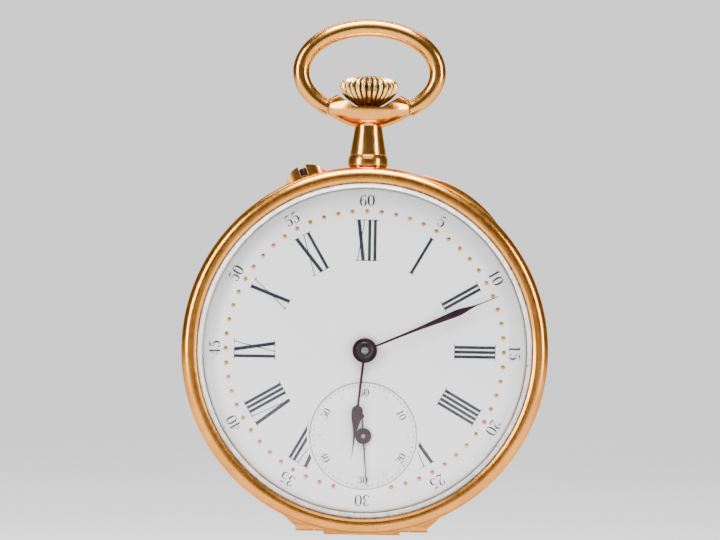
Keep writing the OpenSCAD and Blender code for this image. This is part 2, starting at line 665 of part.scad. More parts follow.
// Ring jewels of the plate and the bridges, with a cap on the balance
module ring_jewel(p, z0, z1, hole, r = 0.6) at(p) difference() {
    disc(r, z0, z1, small);
    disc(hole, z0 - 1, z1 + 1, small);
}
module jewels() color("crimson") lay() {
    for (p = [third_p, escape_p, balance_p]) ring_jewel(p, 6.38, 6.88, 0.18);
    ring_jewel(fork_p, 6.38, 6.88, 0.18);
    ring_jewel(fourth_p, 6.0, 6.48, 0.35);
    for (p = [center_p, third_p, fourth_p, escape_p, balance_p]) ring_jewel(p, 2.75, 3.25, 0.18);
    ring_jewel(fork_p, 5.02, 5.33, 0.18, 0.35);
}

// ---------------------------------------------------------------- barrel and winding work
module mainspring_barrel() color("khaki") lay() at(barrel_p) difference() {
    union() {
        disc(6.75, 3.9, 5.75, fine);
        slab(4.0, 4.4) rotate(heading(barrel_p, center_p)) wheel2d(barrel_teeth, m_barrel);
    }
    disc(6.3, 4.2, 6, fine);
    disc(1.06, 3, 6, small);
}
module barrel_cover() color("khaki") lay() at(barrel_p) difference() {
    disc(6.3 - fit_gap, 5.5, 5.75, fine);
    disc(1.06, 5, 6, small);
}
module barrel_arbor() color("silver") lay() at(barrel_p) {
    disc(1.0, bridge_z0, 5.85, small);
    disc(0.9, 5.8, 6.4, small);
    disc(1.6, 4.25, 5.45, small);
    translate([-0.6, -0.6, winder_z0]) cube([1.2, 1.2, 0.6]);
}
module mainspring() color("slategray") lay() at(barrel_p) slab(4.3, 5.4) spiral2d(1.8, 0.46, 9, 0.14, 24);

module ratchet_wheel() color("silver") lay() at(barrel_p) difference() {
    slab(winder_z0, winder_z1) rotate(heading(crown_wheel_p, barrel_p) + 180 + 180 / ratchet_teeth)
        wheel2d(ratchet_teeth, m_winding);
    translate([-0.62, -0.62, 1]) cube([1.24, 1.24, 3]);
}
module ratchet_screw() color("steelblue") lay() screw(barrel_p, 1.85, 1.5, 0.3, 0.35, 0.01);

module crown_wheel() color("silver") lay() at(crown_wheel_p) difference() {
    union() {
        slab(winder_z0, winder_z1) rotate(heading(crown_wheel_p, barrel_p)) wheel2d(crown_teeth, m_winding);
        for (k = [0 : crown_teeth - 1]) rotate([0, 0, 90 + k * 360 / crown_teeth])
            translate([3.35, -0.12, winder_z1 - eps]) cube([0.55, 0.24, 0.65]);
    }
    disc(0.66, 1, 4, small);
}
module crown_wheel_screw() color("steelblue") lay() screw(crown_wheel_p, 1.85, 1.4, 0.3, 0.6, 1.1);

click_tip_p = barrel_p + polar(7.55, 128);
module click() color("silver") lay() difference() {
    union() {
        slab(winder_z0, winder_z1) {
            translate(click_p) circle(r = 1.1, $fn = mid);
            bar2d(click_p, click_tip_p + polar(0.35, 128), 0.6);
        }
    }
    at(click_p) disc(0.42, 1, 3, small);
}
module click_spring() color("steelblue") lay() {
    at(click_p) disc(0.38, 2.0, 3.3, small);
    at(click_p) disc(0.8, 1.9, 2.15, small);
    slab(winder_z0, winder_z1) bar2d(click_p + polar(3.0, 110), click_tip_p + polar(1.6, 100), 0.2);
    slab(winder_z0, bridge_z0) translate(click_p + polar(3.0, 110)) circle(r = 0.4, $fn = small);
}

// ---------------------------------------------------------------- going train
module center_wheel() color("gold") lay() {
    spoked_wheel(center_teeth, m_center, 5.95, 6.15, heading(center_p, third_p), 1.2);
    pinion(pinion_teeth, m_barrel, 3.9, 5.8, heading(center_p, barrel_p));
    arbor(2.85, 6.6);
    disc(0.6, 5.75, 6.2, small);
    disc(0.3, 6.1, 10.6, small);
}
module third_wheel() color("gold") lay() at(third_p) {
    spoked_wheel(third_teeth, m_third, 5.4, 5.6, heading(third_p, fourth_p), 1.0);
    pinion(pinion_teeth, m_center, 5.59, 6.28, heading(third_p, center_p));
    arbor(2.85, 6.8);
}
module fourth_wheel() color("gold") lay() at(fourth_p) {
    spoked_wheel(fourth_teeth, m_fourth, 5.0, 5.2, heading(fourth_p, escape_p), 0.9);
    pinion(pinion_teeth, m_third, 5.19, 5.85, heading(fourth_p, third_p));
    arbor(2.85, 6.6, 0.25);
    disc(0.25, 5.8, 9.72, small);
}
module escape_tooth() polygon([polar(2.45, -4), polar(2.45, 6), polar(2.95, 9.5), polar(escape_r, 12),
    polar(escape_r - 0.08, 7), polar(2.8, 1)]);
module escape_wheel() color("silver") lay() at(escape_p) {
    slab(5.92, 6.08) {
        difference() {
            circle(r = 2.5, $fn = mid);
            circle(r = 2.1, $fn = mid);
        }
        for (k = [0 : escape_teeth - 1]) rotate(k * 360 / escape_teeth) escape_tooth();
        for (k = [0 : 3]) rotate(k * 90) translate([0, -0.15]) square([2.2, 0.3]);
        circle(r = 0.6, $fn = mid);
    }
    pinion(escape_pinion_teeth, m_fourth, 4.7, 5.5, heading(escape_p, fourth_p));
    arbor(2.85, 6.8, 0.25);
}

function stone_p(side, r) = escape_p + polar(r, lever_angle + side * 30);
module stones2d(grow = 0) for (s = [-1, 1])
    translate(stone_p(s, 3.38)) rotate(lever_angle + s * 30) translate([-grow, -0.11 - grow])
        square([0.45 + grow, 0.22 + 2 * grow]);
module pallet_fork() color("silver") lay() {
    slab(5.9, 6.15) difference() {
        union() {
            for (s = [-1, 1]) bar2d(fork_p, stone_p(s, 3.72), 0.34);
            for (s = [-1, 1]) translate(stone_p(s, 3.72)) circle(r = 0.3, $fn = small);
            translate(fork_p) circle(r = 0.5, $fn = small);
            bar2d(fork_p, fork_p + polar(2.9, lever_angle), 0.3);
            translate(fork_p + polar(3.2, lever_angle)) circle(r = 0.42, $fn = small);
        }
        translate(fork_p + polar(3.45, lever_angle)) rotate(lever_angle)
            translate([-0.4, -0.17]) square([1, 0.34]);
        stones2d(fit_gap);
    }
    at(fork_p) arbor(5.1, 6.8, 0.22, 0.13, 0.25);
}
module pallet_stones() color("crimson") lay() slab(5.88, 6.17) stones2d();

// ---------------------------------------------------------------- balance
module balance_wheel() color("gold") lay() at(balance_p) {
    difference() {
        disc(balance_r, balance_rim_z, balance_rim_z + balance_rim_h, fine);
        disc(balance_r - 0.65, balance_rim_z - 1, balance_rim_z + 1, fine);
        for (k = [0 : balance_screw_count - 1]) rotate([0, 0, (k + 0.5) * 360 / balance_screw_count])
            translate([0, 0, balance_rim_z + balance_rim_h / 2]) along_x(0.14, balance_r - 0.4, balance_r + 1);
    }
    slab(balance_rim_z + 0.1, balance_rim_z + 0.35) {
        translate([-balance_r + 0.3, -0.45]) square([2 * balance_r - 0.6, 0.9]);
        circle(r = 1.1, $fn = mid);
    }
    arbor(2.85, 6.8, 0.35, 0.13, 0.55);
}
module balance_screws() color("gold") lay() at(balance_p)
    for (k = [0 : balance_screw_count - 1]) rotate([0, 0, (k + 0.5) * 360 / balance_screw_count])
        translate([0, 0, balance_rim_z + balance_rim_h / 2]) {
            along_x(0.12, balance_r - 0.35, balance_r + 0.1);
            along_x(0.22, balance_r + fit_gap, balance_r + 0.33);
        }
module roller() color("silver") lay() at(balance_p) difference() {
    union() {
        disc(1.15, 5.3, 5.5);
        rotate([0, 0, lever_angle + 180]) translate([0.85, 0, 0]) disc(0.12, 5.45, 5.83, small);
    }
    disc(0.35 + fit_gap, 5, 6, small);
}
module hairspring() color("slategray") lay() at(balance_p) rotate([0, 0, foot_heading])
    slab(hairspring_z, hairspring_z + hairspring_h)
        spiral2d(hairspring_r0, hairspring_pitch, hairspring_turns, 0.07, 18);
module hairspring_collet() color("khaki") lay() at(balance_p) difference() {
    disc(0.74, 3.86, 4.14, small);
    disc(0.35 + fit_gap, 3, 5, small);
}
stud_r = hairspring_r0 + hairspring_pitch * hairspring_turns;
module hairspring_stud() color("silver") lay()
    at(balance_p + polar(stud_r + 0.25, foot_heading)) disc(0.2, bridge_z1, 4.1, small);

module regulator() color("silver") lay() at(balance_p) rotate([0, 0, foot_heading]) {
    slab(2.3, 2.62) difference() {
        union() {
            circle(r = 1.5, $fn = mid);
            polygon([[1.2, 0.35], [1.2, -0.35], [6.3, 0]]);
            bar2d([-1.2, 0], [-stud_r + 0.16, 0], 0.5);
        }
        circle(r = 0.9, $fn = mid);
    }
    for (d = [-0.16, 0.16]) translate([-stud_r + 0.16 + d, 0, 0]) disc(0.06, 2.5, 4.05, small);
}

// ---------------------------------------------------------------- motion work and keyless work
module cannon_pinion() color("silver") lay() difference() {
    union() {
        pinion(pinion_teeth, m_motion, 7.1, 7.5, heading(center_p, minute_p));
        disc(0.6, 7.45, 10.15, small);
        disc(0.45, 10.1, 10.75, small);
    }
    disc(0.33, 7, 10.65, small);
}
module minute_wheel() color("gold") lay() at(minute_p) difference() {
    union() {
        slab(7.15, 7.4) rotate(-90) wheel2d(minute_teeth, m_motion);
        pinion(minute_pinion_teeth, m_motion, 7.39, 8.3, -90);
    }
    disc(0.35, 7, 9, small);
}
module hour_wheel() color("gold") lay() difference() {
    union() {
        slab(7.9, 8.15) rotate(90) wheel2d(hour_teeth, m_motion);
        disc(0.95, 8.1, 10.0, small);
    }
    disc(0.65, 7, 11, small);
}
module setting_wheel() color("silver") lay() at(setting_p) difference() {
    slab(7.1, 7.45) rotate(-90 + 180 / setting_teeth) wheel2d(setting_teeth, m_motion);
    disc(0.55, 7, 8, small);
}

module winding_stem() color("silver") lay() {
    along_y(0.75, 17.9, 34.2);
    along_y(0.7, 16.4, 18);
    translate([-0.45, 12.6, stem_z - 0.45]) cube([0.9, 3.9, 0.9]);
    along_y(0.4, 10.9, 12.7);
}
module winding_pinion() color("silver") lay() difference() {
    translate([0, 16.75, stem_z]) rotate([-90, 0, 0]) union() {
        linear_extrude(0.7) rotate(90 + 180 / winding_teeth) gear2d(winding_teeth, 0.22, 0.9, 1.0, [0.5, 0.22]);
        translate([0, 0, -0.25]) cylinder(r = 1.9, h = 1.3, $fn = mid);
    }
    along_y(0.75, 16, 18);
    for (k = [0 : 5]) translate([0, 0, stem_z]) rotate([0, k * 30, 0])
        translate([-3, 16.2, -0.15]) cube([6, 0.5, 0.3]);
}
module clutch_wheel() color("silver") lay() difference() {
    translate([0, 0, stem_z]) rotate([-90, 0, 0]) rotate_extrude($fn = mid) polygon([
        [0, 13.4], [1.9, 13.4], [2.0, 13.5], [2.0, 14.7], [1.3, 14.7], [1.3, 15.35], [1.9, 15.35],
        [1.9, 16.35], [0, 16.35]]);
    translate([-0.49, 12, stem_z - 0.49]) cube([0.98, 6, 0.98]);
    for (k = [0 : 5]) translate([0, 0, stem_z]) rotate([0, k * 30, 0]) {
        translate([-3, 16.1, -0.15]) cube([6, 0.5, 0.3]);
        translate([-3, 13.1, -0.15]) cube([6, 0.7, 0.3]);
    }
}
module yoke() color("silver") lay() difference() {
    union() {
        slab(7.65, 7.95) {
            bar2d(yoke_p, [0.4, 15], 1.2);
            bar2d([0.4, 15], yoke_tab_p, 1.1);
            translate(yoke_p) circle(r = 1.1, $fn = mid);
        }
        translate([-0.3, 14.82, 6.9]) cube([0.6, 0.4, 0.9]);
        at(yoke_tab_p) disc(0.45, 5.0, 7.8, small);
    }
    at(yoke_p) disc(0.55, 7, 9, small);
}

case_middle();
bezel();
crystal();
back_cover();
dust_cover();
back_hinge_pin();
bezel_hinge_pin();
dust_hinge_pin();
pendant();
pendant_collar();
bow();
crown();
button_guard();
setting_button();
dial();
seconds_dial();
dial_feet();
hour_hand();
minute_hand();
seconds_hand();
main_plate();
barrel_bridge();
train_bridge();
pallet_cock();
balance_cock();
bridge_screws();
pallet_screw();
case_screws();
jewels();
mainspring_barrel();
barrel_cover();
barrel_arbor();
mainspring();
ratchet_wheel();
ratchet_screw();
crown_wheel();
crown_wheel_screw();
click();
click_spring();
center_wheel();
third_wheel();
fourth_wheel();
escape_wheel();
pallet_fork();
pallet_stones();
balance_wheel();
balance_screws();
roller();
hairspring();
hairspring_collet();
hairspring_stud();
regulator();
cannon_pinion();
minute_wheel();
hour_wheel();
winding_stem();
winding_pinion();
clutch_wheel();
yoke();
setting_wheel();
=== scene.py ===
import math
import random

import bmesh
import bpy
from mathutils import Matrix, Vector


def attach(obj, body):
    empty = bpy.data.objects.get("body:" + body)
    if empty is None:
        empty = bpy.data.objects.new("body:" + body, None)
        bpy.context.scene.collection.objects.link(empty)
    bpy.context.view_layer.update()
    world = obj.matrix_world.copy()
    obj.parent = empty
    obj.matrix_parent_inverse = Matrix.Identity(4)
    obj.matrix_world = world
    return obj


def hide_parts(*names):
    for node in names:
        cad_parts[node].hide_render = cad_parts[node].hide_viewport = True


# Looks of the open face pocket watch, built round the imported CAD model.
# Shapes are written in millimetres in the watch's own frame: X to 3 o'clock, Y to 12 o'clock,
# Z to the viewer of the dial, with Z = 0 on the flat of the back cover.
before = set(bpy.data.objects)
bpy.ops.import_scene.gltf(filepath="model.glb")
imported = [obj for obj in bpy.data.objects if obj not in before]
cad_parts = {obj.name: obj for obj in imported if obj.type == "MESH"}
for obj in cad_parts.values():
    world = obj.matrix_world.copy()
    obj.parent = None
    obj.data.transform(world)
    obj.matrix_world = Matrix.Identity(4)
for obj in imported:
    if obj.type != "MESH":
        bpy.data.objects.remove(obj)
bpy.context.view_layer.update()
MM = 1e-3
FINE = 256
ROUND = 96
LAY = Matrix(((MM, 0, 0, 0), (0, 0, -MM, 0), (0, MM, 0, 0), (0, 0, 0, 1)))

# ------------------------------------------------------------------ sizes, in millimetres
BEZEL_R = 24.0
BAND_R = 23.6
BAND_Z0, BAND_Z1 = 3.25, 8.1
LIP_Z = 8.8
STEM_Z = 5.5
CASE_T = 12.4
FLAT_R = 10.0
RIM_R = 23.7
COVER_RISE = 3.2
BACK_HINGE = (-23.4, 2.9, 0.75, 20.9)      # distance below the centre, level, tube radius, length
BEZEL_HINGE = (-23.6, 7.5, 0.6, 10.0)
DUST_HINGE = (-22.1, 3.2, 0.38, 8.0)
KNUCKLES = 5
KNUCKLE_GAP = 0.06
PIVOT_Y = 31.9
BOW_Y, BOW_A, BOW_B, BOW_R = 36.55, 9.0, 5.87, 1.075
FLUTES = 28
FLUTE_R, FLUTE_DEPTH = 1.6, 0.42           # where the grooves start, and how deep they are
BUTTON_TURN = math.radians(20)
DIAL_R = 21.2
DIAL_Z = 9.5
SECONDS_Y = -11.2
SECONDS_Z = 9.3
SECONDS_R = 7.05
INK_H = 0.02
HOUR_ANGLE, MINUTE_ANGLE, SECONDS_ANGLE = 186.0, 67.0, 175.5


# ------------------------------------------------------------------ materials
class Shader:
    """A material's node tree, with the few nodes that these materials are made of."""

    def __init__(self, name):
        self.mat = bpy.data.materials.new(name)
        self.mat.use_nodes = True
        self.tree = self.mat.node_tree
        self.tree.nodes.clear()
        self.out = self.add("ShaderNodeOutputMaterial")
        self.bsdf = self.add("ShaderNodeBsdfPrincipled")
        self.link(self.bsdf.outputs[0], self.out.inputs["Surface"])
        self.place = self.add("ShaderNodeTexCoord").outputs["Object"]

    def add(self, kind, **settings):
        node = self.tree.nodes.new(kind)
        for key, value in settings.items():
            setattr(node, key, value)
        return node

    def link(self, a, b):
        self.tree.links.new(a, b)

    def set(self, **values):
        for key, value in values.items():
            self.bsdf.inputs[key.replace("_", " ")].default_value = value

    def stretch(self, scale, turn=(0, 0, 0)):
        """The object's coordinates, scaled along each axis."""
        node = self.add("ShaderNodeMapping")
        node.inputs["Scale"].default_value = scale
        node.inputs["Rotation"].default_value = turn
        self.link(self.place, node.inputs["Vector"])
        return node.outputs[0]

    def noise(self, size_mm, detail=4, rough=0.55, vector=None):
        """Noise with features of about that size."""
        node = self.add("ShaderNodeTexNoise")
        node.inputs["Scale"].default_value = 1 / (size_mm * MM)
        node.inputs["Detail"].default_value = detail
        node.inputs["Roughness"].default_value = rough
        self.link(vector or self.place, node.inputs["Vector"])
        return node.outputs["Fac"]

    def between(self, value, low, high, to_low=0.0, to_high=1.0):
        """value from low to high, mapped to to_low to to_high."""
        node = self.add("ShaderNodeMapRange")
        for key, number in (("From Min", low), ("From Max", high), ("To Min", to_low), ("To Max", to_high)):
            node.inputs[key].default_value = number
        self.link(value, node.inputs["Value"])
        return node.outputs[0]

    def mix(self, fac, a, b):
        """Colour a where fac is 0 and b where it is 1. Each is a colour or a socket."""
        node = self.add("ShaderNodeMix", data_type="RGBA")
        self.link(fac, node.inputs["Factor"])
        for value, socket in ((a, node.inputs["A"]), (b, node.inputs["B"])):
            if isinstance(value, tuple):
                socket.default_value = (*value, 1)
            else:
                self.link(value, socket)
        return node.outputs["Result"]

    def math(self, operation, a, b):
        node = self.add("ShaderNodeMath", operation=operation)
        for value, socket in ((a, node.inputs[0]), (b, node.inputs[1])):
            if isinstance(value, (int, float)):
                socket.default_value = value
            else:
                self.link(value, socket)
        return node.outputs[0]

    def colour(self, socket):
        self.link(socket, self.bsdf.inputs["Base Color"])

    def roughness(self, socket):
        self.link(socket, self.bsdf.inputs["Roughness"])

    def bump(self, height, depth_mm, strength=1.0):
        node = self.add("ShaderNodeBump")
        node.inputs["Strength"].default_value = strength
        node.inputs["Distance"].default_value = depth_mm * MM
        self.link(height, node.inputs["Height"])
        self.link(node.outputs[0], self.bsdf.inputs["Normal"])


def worn_metal(name, light, dark, low=0.14, high=0.34, scratch=0.004, tarnish=0.5):
    """Polished metal with soft tarnish, fine scratches both ways and small pits."""
    s = Shader(name)
    s.set(Metallic=1.0, Specular_Tint=(0.95, 0.60, 0.32, 1))
    clouds = s.noise(5.0, 5, 0.6)
    specks = s.noise(0.7, 6, 0.7)
    hairs = s.noise(0.22, 3, 0.6, s.stretch((1, 1, 0.12), (0.3, 0.2, 0.5)))
    across = s.noise(0.22, 3, 0.6, s.stretch((0.1, 1, 1), (0.1, 0.6, 0.2)))
    tone = s.mix(s.between(clouds, 0.35, 0.7), light, dark)
    stain = s.between(specks, 0.56, 0.72, 0.0, tarnish)
    s.colour(s.mix(stain, tone, tuple(c * 0.45 for c in dark)))
    wear = s.math("ADD", s.math("MULTIPLY", specks, 0.6), s.math("MULTIPLY", hairs, 0.4))
    s.roughness(s.between(wear, 0.3, 0.75, low, high))
    lines = s.math("ADD", hairs, across)
    s.bump(s.math("ADD", lines, s.math("MULTIPLY", specks, 0.7)), scratch, 0.6)
    return s.mat


def crown_metal(name="crown_gold_worn"):
    """Yellow gold ridges with dirt in the grooves between, and patches worn to dark metal."""
    s = Shader(name)
    s.set(Metallic=1.0)
    groove = s.add("ShaderNodeAttribute", attribute_name="groove").outputs["Fac"]
    patch = s.noise(2.6, 3, 0.6)
    specks = s.noise(0.4, 5, 0.7)
    gold = s.mix(s.between(specks, 0.35, 0.7), (0.90, 0.58, 0.16), (0.62, 0.36, 0.08))
    dirt = s.between(s.math("ADD", groove, s.math("MULTIPLY", specks, 0.5)), 0.62, 0.98)
    bare = s.between(patch, 0.60, 0.66, 0.0, 0.85)
    s.colour(s.mix(s.math("MAXIMUM", dirt, bare), gold, (0.035, 0.030, 0.028)))
    s.roughness(s.between(s.math("MAXIMUM", dirt, specks), 0.3, 1.0, 0.16, 0.5))
    s.bump(specks, 0.01, 0.6)
    return s.mat


def brushed_metal(name, light, dark, rough, grain=(1, 1, 0.03), depth=0.004):
    """Metal with a straight grain, as left by a stone or a fine cut."""
    s = Shader(name)
    s.set(Metallic=1.0)
    lines = s.noise(0.08, 3, 0.6, s.stretch(grain))
    clouds = s.noise(2.5, 4)
    s.colour(s.mix(s.between(s.math("ADD", clouds, s.math("MULTIPLY", lines, 0.4)), 0.5, 0.9), light, dark))
    s.roughness(s.between(lines, 0.3, 0.7, rough - 0.08, rough + 0.1))
    s.bump(lines, depth, 0.5)
    return s.mat


def frosted_gilt(name="gilt_plate"):
    """Gilt brass with a fine matt grain, and a little wear to a browner tone."""
    s = Shader(name)
    s.set(Metallic=1.0)
    grain = s.noise(0.09, 2, 0.5)
    clouds = s.noise(4.0, 5, 0.6)
    base = s.mix(s.between(clouds, 0.35, 0.7), (0.86, 0.62, 0.26), (0.68, 0.43, 0.15))
    s.colour(s.mix(s.between(grain, 0.35, 0.75, 0.0, 0.3), base, (0.36, 0.22, 0.08)))
    s.roughness(s.between(grain, 0.3, 0.7, 0.34, 0.5))
    s.bump(grain, 0.012, 0.7)
    return s.mat


def enamel(name="white_enamel"):
    """Fired white enamel: glossy, faintly uneven, with grey specks and hairline cracks."""
    s = Shader(name)
    s.set(Coat_Weight=0.5, Coat_Roughness=0.03, Coat_IOR=1.5, IOR=1.5)
    clouds = s.noise(6.0, 4)
    dust = s.noise(0.32, 2, 0.5)
    base = s.mix(s.between(clouds, 0.3, 0.7), (0.90, 0.90, 0.90), (0.86, 0.865, 0.87))
    fleck = s.between(dust, 0.735, 0.80, 0.0, 0.75)
    line = s.add("ShaderNodeTexVoronoi", feature="DISTANCE_TO_EDGE")
    line.inputs["Scale"].default_value = 1 / (13.0 * MM)
    s.link(s.place, line.inputs["Vector"])
    where = s.between(s.noise(8.0, 2), 0.6, 0.66)
    crack = s.math("MULTIPLY", s.between(line.outputs["Distance"], 0.0, 0.0035, 0.28, 0.0), where)
    s.colour(s.mix(s.math("MAXIMUM", fleck, crack), base, (0.30, 0.27, 0.24)))
    s.roughness(s.between(clouds, 0.3, 0.7, 0.16, 0.26))
    s.bump(clouds, 0.03, 0.35)
    return s.mat


def blued_steel(name, light=(0.035, 0.030, 0.085), dark=(0.05, 0.018, 0.035), rough=0.26):
    """Steel heated to a purple blue, browner in patches."""
    s = Shader(name)
    s.set(Metallic=0.85)
    clouds = s.noise(1.6, 5, 0.6)
    specks = s.noise(0.25, 4, 0.7)
    base = s.mix(s.between(clouds, 0.35, 0.65), light, dark)
    s.colour(s.mix(s.between(specks, 0.6, 0.75, 0.0, 0.6), base, (0.10, 0.055, 0.045)))
    s.roughness(s.between(specks, 0.3, 0.7, rough, rough + 0.18))
    s.bump(specks, 0.006, 0.5)
    return s.mat


def ink(name, colour, brown):
    """Fired enamel paint, a little uneven; the same shader also draws the painted shade of the seam between
    bezel and glass.
    """
    s = Shader(name)
    s.set(Coat_Weight=0.3, Coat_Roughness=0.08)
    worn = s.noise(0.35, 4, 0.6)
    s.colour(s.mix(s.between(worn, 0.4, 0.72), colour, brown))
    s.roughness(s.between(worn, 0.3, 0.7, 0.25, 0.42))
    s.bump(worn, 0.004, 0.5)
    return s.mat


def clear_glass(name="watch_glass"):
    """Clear crystal that lets lamps through, with faint scuffs where it shines."""
    s = Shader(name)
    scuff = s.noise(0.5, 5, 0.7, s.stretch((1, 1, 0.2), (0.2, 0.5, 0.1)))
    shine = s.add("ShaderNodeBsdfGlossy")
    shine.inputs["Color"].default_value = (1, 1, 1, 1)
    s.link(s.between(scuff, 0.45, 0.8, 0.02, 0.12), shine.inputs["Roughness"])
    clear = s.add("ShaderNodeBsdfTransparent")
    clear.inputs["Color"].default_value = (0.985, 0.99, 0.988, 1)
    fresnel = s.add("ShaderNodeFresnel")
    fresnel.inputs["IOR"].default_value = 1.45
    both = s.add("ShaderNodeMixShader")
    s.link(s.math("MULTIPLY", fresnel.outputs[0], 0.55), both.inputs["Fac"])
    s.link(clear.outputs[0], both.inputs[1])
    s.link(shine.outputs[0], both.inputs[2])
    s.link(both.outputs[0], s.out.inputs["Surface"])
    s.tree.nodes.remove(s.bsdf)
    return s.mat


def glass_bevel(name="glass_bevel"):
    """Ground edge of the crystal with old cement under it: a milky grey partly painted for the light
    refracted in the glass's edge, greyer in patches.
    """
    s = Shader(name)
    s.set(Coat_Weight=0.6, Coat_Roughness=0.1)
    clouds = s.noise(1.4, 5, 0.65)
    dirt = s.noise(0.45, 4, 0.7)
    # the milky grey stands partly for light refracted in the glass's ground edge (painted light); the dark
    # brown patches are dirt
    base = s.mix(s.between(clouds, 0.35, 0.65), (0.66, 0.68, 0.68), (0.42, 0.43, 0.42))
    s.colour(s.mix(s.between(dirt, 0.56, 0.68, 0.0, 0.9), base, (0.10, 0.075, 0.05)))
    s.roughness(s.between(dirt, 0.3, 0.7, 0.25, 0.5))
    s.bump(clouds, 0.02, 0.5)
    return s.mat


def ruby(name="ruby_jewel"):
    s = Shader(name)
    s.set(IOR=1.76, Coat_Weight=1.0, Coat_Roughness=0.04)
    clouds = s.noise(0.5, 3)
    s.colour(s.mix(s.between(clouds, 0.3, 0.7), (0.42, 0.015, 0.06), (0.22, 0.004, 0.03)))
    s.roughness(s.between(clouds, 0.3, 0.7, 0.05, 0.14))
    s.bump(clouds, 0.004, 0.4)
    return s.mat


def soft_stage(name, colour):
    s = Shader(name)
    s.set(Roughness=0.8)
    s.colour(s.mix(s.between(s.noise(60.0, 3), 0.3, 0.7), colour, tuple(c * 0.97 for c in colour)))
    return s.mat


GOLD_LIGHT, GOLD_DARK = (0.66, 0.275, 0.055), (0.50, 0.19, 0.03)
MAT = {
    "gold": worn_metal("case_gold_worn", GOLD_LIGHT, GOLD_DARK),
    "bow_gold": worn_metal("bow_gold_worn", (0.66, 0.30, 0.065), (0.48, 0.20, 0.035), 0.12, 0.28),
    "crown_gold": crown_metal(),
    "dust_brass": worn_metal("dust_cover_gilt", (0.80, 0.50, 0.18), (0.62, 0.34, 0.10), 0.16, 0.36),
    "pin": brushed_metal("pin_steel_worn", (0.55, 0.50, 0.44), (0.34, 0.29, 0.24), 0.3),
    "button": brushed_metal("button_steel_worn", (0.10, 0.055, 0.035), (0.04, 0.025, 0.02), 0.4),
    "enamel": enamel(),
    "glass": clear_glass(),
    "bevel": glass_bevel(),
    "hand": blued_steel("blued_hand", (0.030, 0.016, 0.030), (0.045, 0.012, 0.016)),
    "hub": blued_steel("dark_hub", (0.045, 0.04, 0.045), (0.03, 0.02, 0.02), 0.3),
    "ink": ink("numeral_ink", (0.008, 0.010, 0.022), (0.022, 0.020, 0.026)),
    "minute_ink": ink("minute_ink", (0.022, 0.020, 0.024), (0.055, 0.048, 0.045)),
    "line_ink": ink("ring_ink", (0.16, 0.145, 0.13), (0.30, 0.26, 0.22)),
    "dot_gold": worn_metal("dot_gold", (0.78, 0.50, 0.16), (0.56, 0.32, 0.08), 0.2, 0.4, 0.002),
    "gilt": frosted_gilt(),
    "brass": brushed_metal("wheel_brass_cut", (0.82, 0.62, 0.26), (0.62, 0.42, 0.14), 0.26, (1, 1, 0.06)),
    "steel": brushed_metal("work_steel_grained", (0.62, 0.63, 0.65), (0.42, 0.43, 0.45), 0.24, (0.05, 1, 1)),
    "spring": brushed_metal("spring_steel_blue", (0.30, 0.33, 0.42), (0.16, 0.18, 0.26), 0.25),
    "screw": blued_steel("blued_screw", (0.03, 0.05, 0.22), (0.05, 0.03, 0.12), 0.18),
    "copper": brushed_metal("feet_copper", (0.70, 0.36, 0.22), (0.45, 0.20, 0.11), 0.35),
    "ruby": ruby(),
    # dark brown ring between bezel and glass: painted shade where the bezel shadows the glass's edge
    "painted_seam_shade": ink("painted_seam_shade", (0.045, 0.022, 0.010), (0.30, 0.16, 0.06)),
}


# ------------------------------------------------------------------ mesh tools
def mesh_of(name, verts, faces):
    """A new object in the watch's frame, in millimetres, with its normals outward."""
    mesh = bpy.data.meshes.new(name)
    mesh.from_pydata([tuple(v) for v in verts], [], faces)
    bm = bmesh.new()
    bm.from_mesh(mesh)
    bmesh.ops.recalc_face_normals(bm, faces=bm.faces)
    bm.to_mesh(mesh)
    bm.free()
    obj = bpy.data.objects.new(name, mesh)
    bpy.context.scene.collection.objects.link(obj)
    return obj


def moved(obj, matrix):
    obj.data.transform(matrix)
    return obj


def soften(points, radius, steps=3):
    """A closed outline with each corner off the axis turned into a small arc."""
    out, count = [], len(points)
    for i, p in enumerate(points):
        p, a, b = Vector(p), Vector(points[i - 1]), Vector(points[(i + 1) % count])
        to_a, to_b = a - p, b - p
        if abs(p.x) < 1e-6 or to_a.length < 1e-6 or to_b.length < 1e-6:
            out.append(tuple(p))
            continue
        angle = to_a.angle(to_b)
        if angle > math.radians(168):
            out.append(tuple(p))
            continue
        reach = min(radius / math.tan(angle / 2), 0.45 * to_a.length, 0.45 * to_b.length)
        start, end = p + to_a.normalized() * reach, p + to_b.normalized() * reach
        for k in range(steps + 1):
            t = k / steps
            out.append(tuple(start * (1 - t) ** 2 + p * (2 * t * (1 - t)) + end * t * t))
    return out


def lathe(name, profile, steps=FINE, soft=0.0):
    """A closed profile of (radius, height) turned about Z."""
    if soft:
        profile = soften(profile, soft)
    verts, rings, faces = [], [], []
    for r, z in profile:
        first = len(verts)
        if r < 1e-6:
            verts.append((0, 0, z))
            rings.append([first] * steps)
        else:
            for k in range(steps):
                a = 2 * math.pi * k / steps
                verts.append((r * math.cos(a), r * math.sin(a), z))
            rings.append(list(range(first, first + steps)))
    for i, low in enumerate(rings):
        high = rings[(i + 1) % len(rings)]
        for k in range(steps):
            ring = [low[k - 1], low[k], high[k], high[k - 1]]
            face = [v for j, v in enumerate(ring) if v != ring[j - 1]]
            if len(face) > 2:
                faces.append(face)
    return mesh_of(name, verts, faces)


UP_STEM = Matrix.Translation((0, 0, STEM_Z)) @ Matrix.Rotation(math.radians(-90), 4, "X")
TO_BUTTON = Matrix.Rotation(BUTTON_TURN, 4, "Z")


def turned_on_stem(name, profile, steps=ROUND, soft=0.0):
    """A profile of (radius, distance from the watch's centre) turned about the stem."""
    return moved(lathe(name, profile, steps, soft), UP_STEM)


